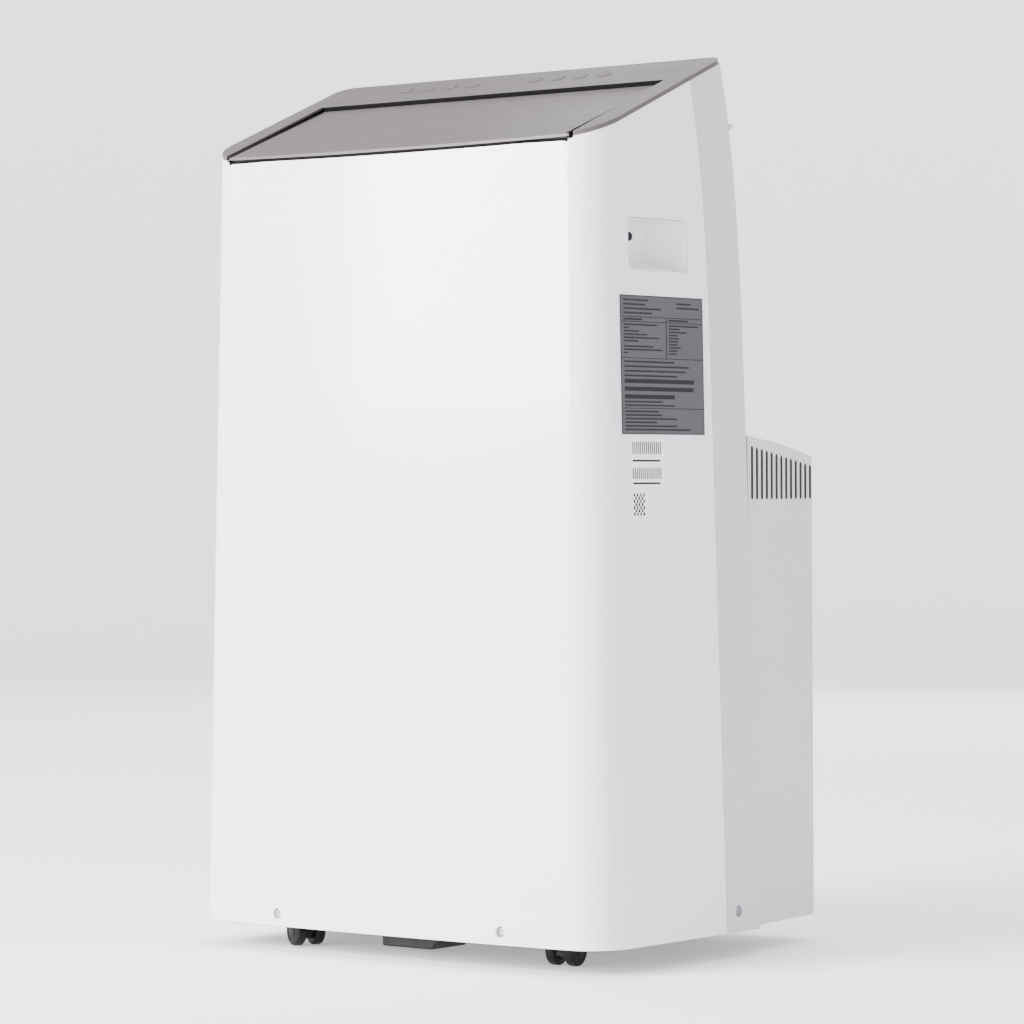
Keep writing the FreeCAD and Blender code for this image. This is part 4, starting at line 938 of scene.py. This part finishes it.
# ---- back: slots, ports and pull tabs -----------------------------------------
HOUSING_ROOT_HALF = 0.2157
HOUSING_ROOT_Y = 0.0595
HOUSING_NARROWING = 0.108
ROOF_FRONT_Z = 0.439
ROOF_FALL = 0.1558

VENT_COUNT = 13
VENT_PITCH = 0.00865
VENT_FIRST_Y = 0.060
VENT_WIDTH = 0.0045
VENT_CORNER = VENT_WIDTH * 0.49
VENT_LOW = 0.3857
VENT_TOP_DROP = 0.0076
# The dark plates sit this far below the skin: painted shade in the slots.
VENT_SINK = 0.0005
VENT_THICK = 0.0004

PORT_MARGIN = 0.0001
# node: ring's name, radius, width, finish, body
PORT_RINGS = {
    "drain_plug": ("stopper_ring", 0.0034, 0.0011, "rubber_black", "drain_plug"),
    "cable_gland": ("gland_ring", 0.0088, 0.0030, "black_plastic", "root"),
}

TAB_EDGE, RIB_EDGE = 0.0006, 0.0002
RIB_RISE = 0.0002
TAB_SUNK = 0.0003
GRILLE_TAB = (0.030, 0.0085, 0.0022)
GRILLE_TAB_CORNER = 0.002
GRILLE_TAB_Z = 0.6815
GRILLE_RIB, GRILLE_RIB_STEP = (0.0010, 0.0055, 0.0006), (0.0034, 0)
GRILLE_RIBS_EACH_WAY = 3
FILTER_TAB = (0.0050, 0.042, 0.0030)
FILTER_TAB_CORNER = 0.0012
FILTER_TAB_Z = 0.153
FILTER_RIB, FILTER_RIB_STEP = (0.0036, 0.0010, 0.0006), (0, 0.0038)
FILTER_RIBS_EACH_WAY = 4


def add_vent_painted_shade():
    """Dark plate a little below the skin in each side slot of the rear housing: painted shade for the slots' dark
    insides.
    """
    shape = bmesh.new()
    for side in (-1, 1):
        along = Vector((-side * HOUSING_NARROWING, 1.0, 0.0))
        out = Vector((side, HOUSING_NARROWING, 0.0))
        for slot in range(VENT_COUNT):
            y = VENT_FIRST_Y + slot * VENT_PITCH
            top = ROOF_FRONT_Z - ROOF_FALL * (y - HOUSING_ROOT_Y) - VENT_TOP_DROP
            x = HOUSING_ROOT_HALF - HOUSING_NARROWING * (y - HOUSING_ROOT_Y)
            place = frame_at(Vector((side * x, y, (VENT_LOW + top) / 2)), along, out)
            place = place @ Matrix.Translation((0, 0, -VENT_SINK))
            add_block(shape, place, (VENT_WIDTH, top - VENT_LOW, VENT_THICK), corner=VENT_CORNER)
    finish_piece(shape, "vent_painted_shade", "vent_dark", "root")


def add_port_rings():
    """Stopper's pull ring and the lock ring of the cable gland."""
    back = CAD_HIGH[1] - PORT_MARGIN
    for node, (name, radius, width, finish, body) in PORT_RINGS.items():
        low_corner, high_corner = node_box(node)
        spot = (low_corner + high_corner) / 2
        place = frame_at(Vector((spot.x, high_corner.y, spot.z)), X_AXIS, Y_AXIS)
        shape = bmesh.new()
        add_ring(shape, place, radius, width, back - high_corner.y)
        finish_piece(shape, name, finish, body)


def ribbed_tab(place, size, corner, rib_size, rib_step, ribs_each_way):
    """Rounded finger tab standing on a place, with a row of small ribs."""
    shape = bmesh.new()
    middle = place @ Matrix.Translation((0, 0, size[2] / 2))
    add_block(shape, middle, size, corner=corner, edge=TAB_EDGE)
    for rib in range(-ribs_each_way, ribs_each_way + 1):
        shift = (rib * rib_step[0], rib * rib_step[1], size[2] + RIB_RISE)
        add_block(shape, place @ Matrix.Translation(shift), rib_size, edge=RIB_EDGE)
    return shape


def add_pull_tabs():
    """Ribbed finger tabs on the tilting grille and on the sliding filter."""
    start = Vector((0.0, OUTSIDE_Y, GRILLE_TAB_Z))
    point, normal, _, _ = skin_of("upper_intake_grille").ray_cast(start, -Y_AXIS)
    place = frame_at(point - normal * TAB_SUNK, X_AXIS, normal)
    shape = ribbed_tab(place, GRILLE_TAB, GRILLE_TAB_CORNER, GRILLE_RIB, GRILLE_RIB_STEP,
                       GRILLE_RIBS_EACH_WAY)
    finish_piece(shape, "grille_pull_tab", "rear_white_painted_shade", "rear_grille")

    low_corner, high_corner = node_box("lower_filter")
    spot = Vector((low_corner.x + TAB_SUNK, (low_corner.y + high_corner.y) / 2, FILTER_TAB_Z))
    place = frame_at(spot, Y_AXIS, -X_AXIS)
    shape = ribbed_tab(place, FILTER_TAB, FILTER_TAB_CORNER, FILTER_RIB, FILTER_RIB_STEP,
                       FILTER_RIBS_EACH_WAY)
    finish_piece(shape, "filter_pull_tab", "blower_grey", "lower_filter")


# ---- casters ------------------------------------------------------------------
CASTERS = ("front_left", "front_right", "rear_left", "rear_right")
WHEEL_OUTER = 0.0135
HUB_CAP_R, HUB_CAP_RISE, HUB_CAP_SUNK = 0.0052, 0.0009, 0.0003
HUB_CAP_EDGE = 0.0003
HUB_RING_R, HUB_RING_WIDTH, HUB_RING_RISE, HUB_RING_SUNK = 0.0088, 0.0010, 0.0005, 0.0002


def add_hub_caps():
    """Cap and raised ring on the outer face of every wheel."""
    for corner in CASTERS:
        joint = JOINTS["caster_%s_roll" % corner]
        hub, axis = Vector(joint["pos_m"]), Vector(joint["axis"]).normalized()
        shape = bmesh.new()
        for sign in (-1, 1):
            place = frame_at(hub + axis * sign * WHEEL_OUTER, Z_AXIS, axis * sign)
            cap = place @ Matrix.Translation((0, 0, -HUB_CAP_SUNK))
            add_cylinder(shape, cap, HUB_CAP_R, HUB_CAP_RISE, HUB_CAP_EDGE)
            ring = place @ Matrix.Translation((0, 0, -HUB_RING_SUNK))
            add_ring(shape, ring, HUB_RING_R, HUB_RING_WIDTH, HUB_RING_RISE)
        finish_piece(shape, "hub_caps_" + corner, "caster_tread", "wheels_" + corner)


# ---- build --------------------------------------------------------------------
add_camera()
add_studio()
add_floor()
paint_frame()
add_soft_shells()
add_front_gap_shade()
add_side_gap_shades()
add_opening_wall_shade()
add_opening_floor_shade()
add_keys()
add_rating_plate()
add_stickers()
add_grip_screws()
add_vent_painted_shade()
add_cover_screws()
add_port_rings()
add_pull_tabs()
add_hub_caps()
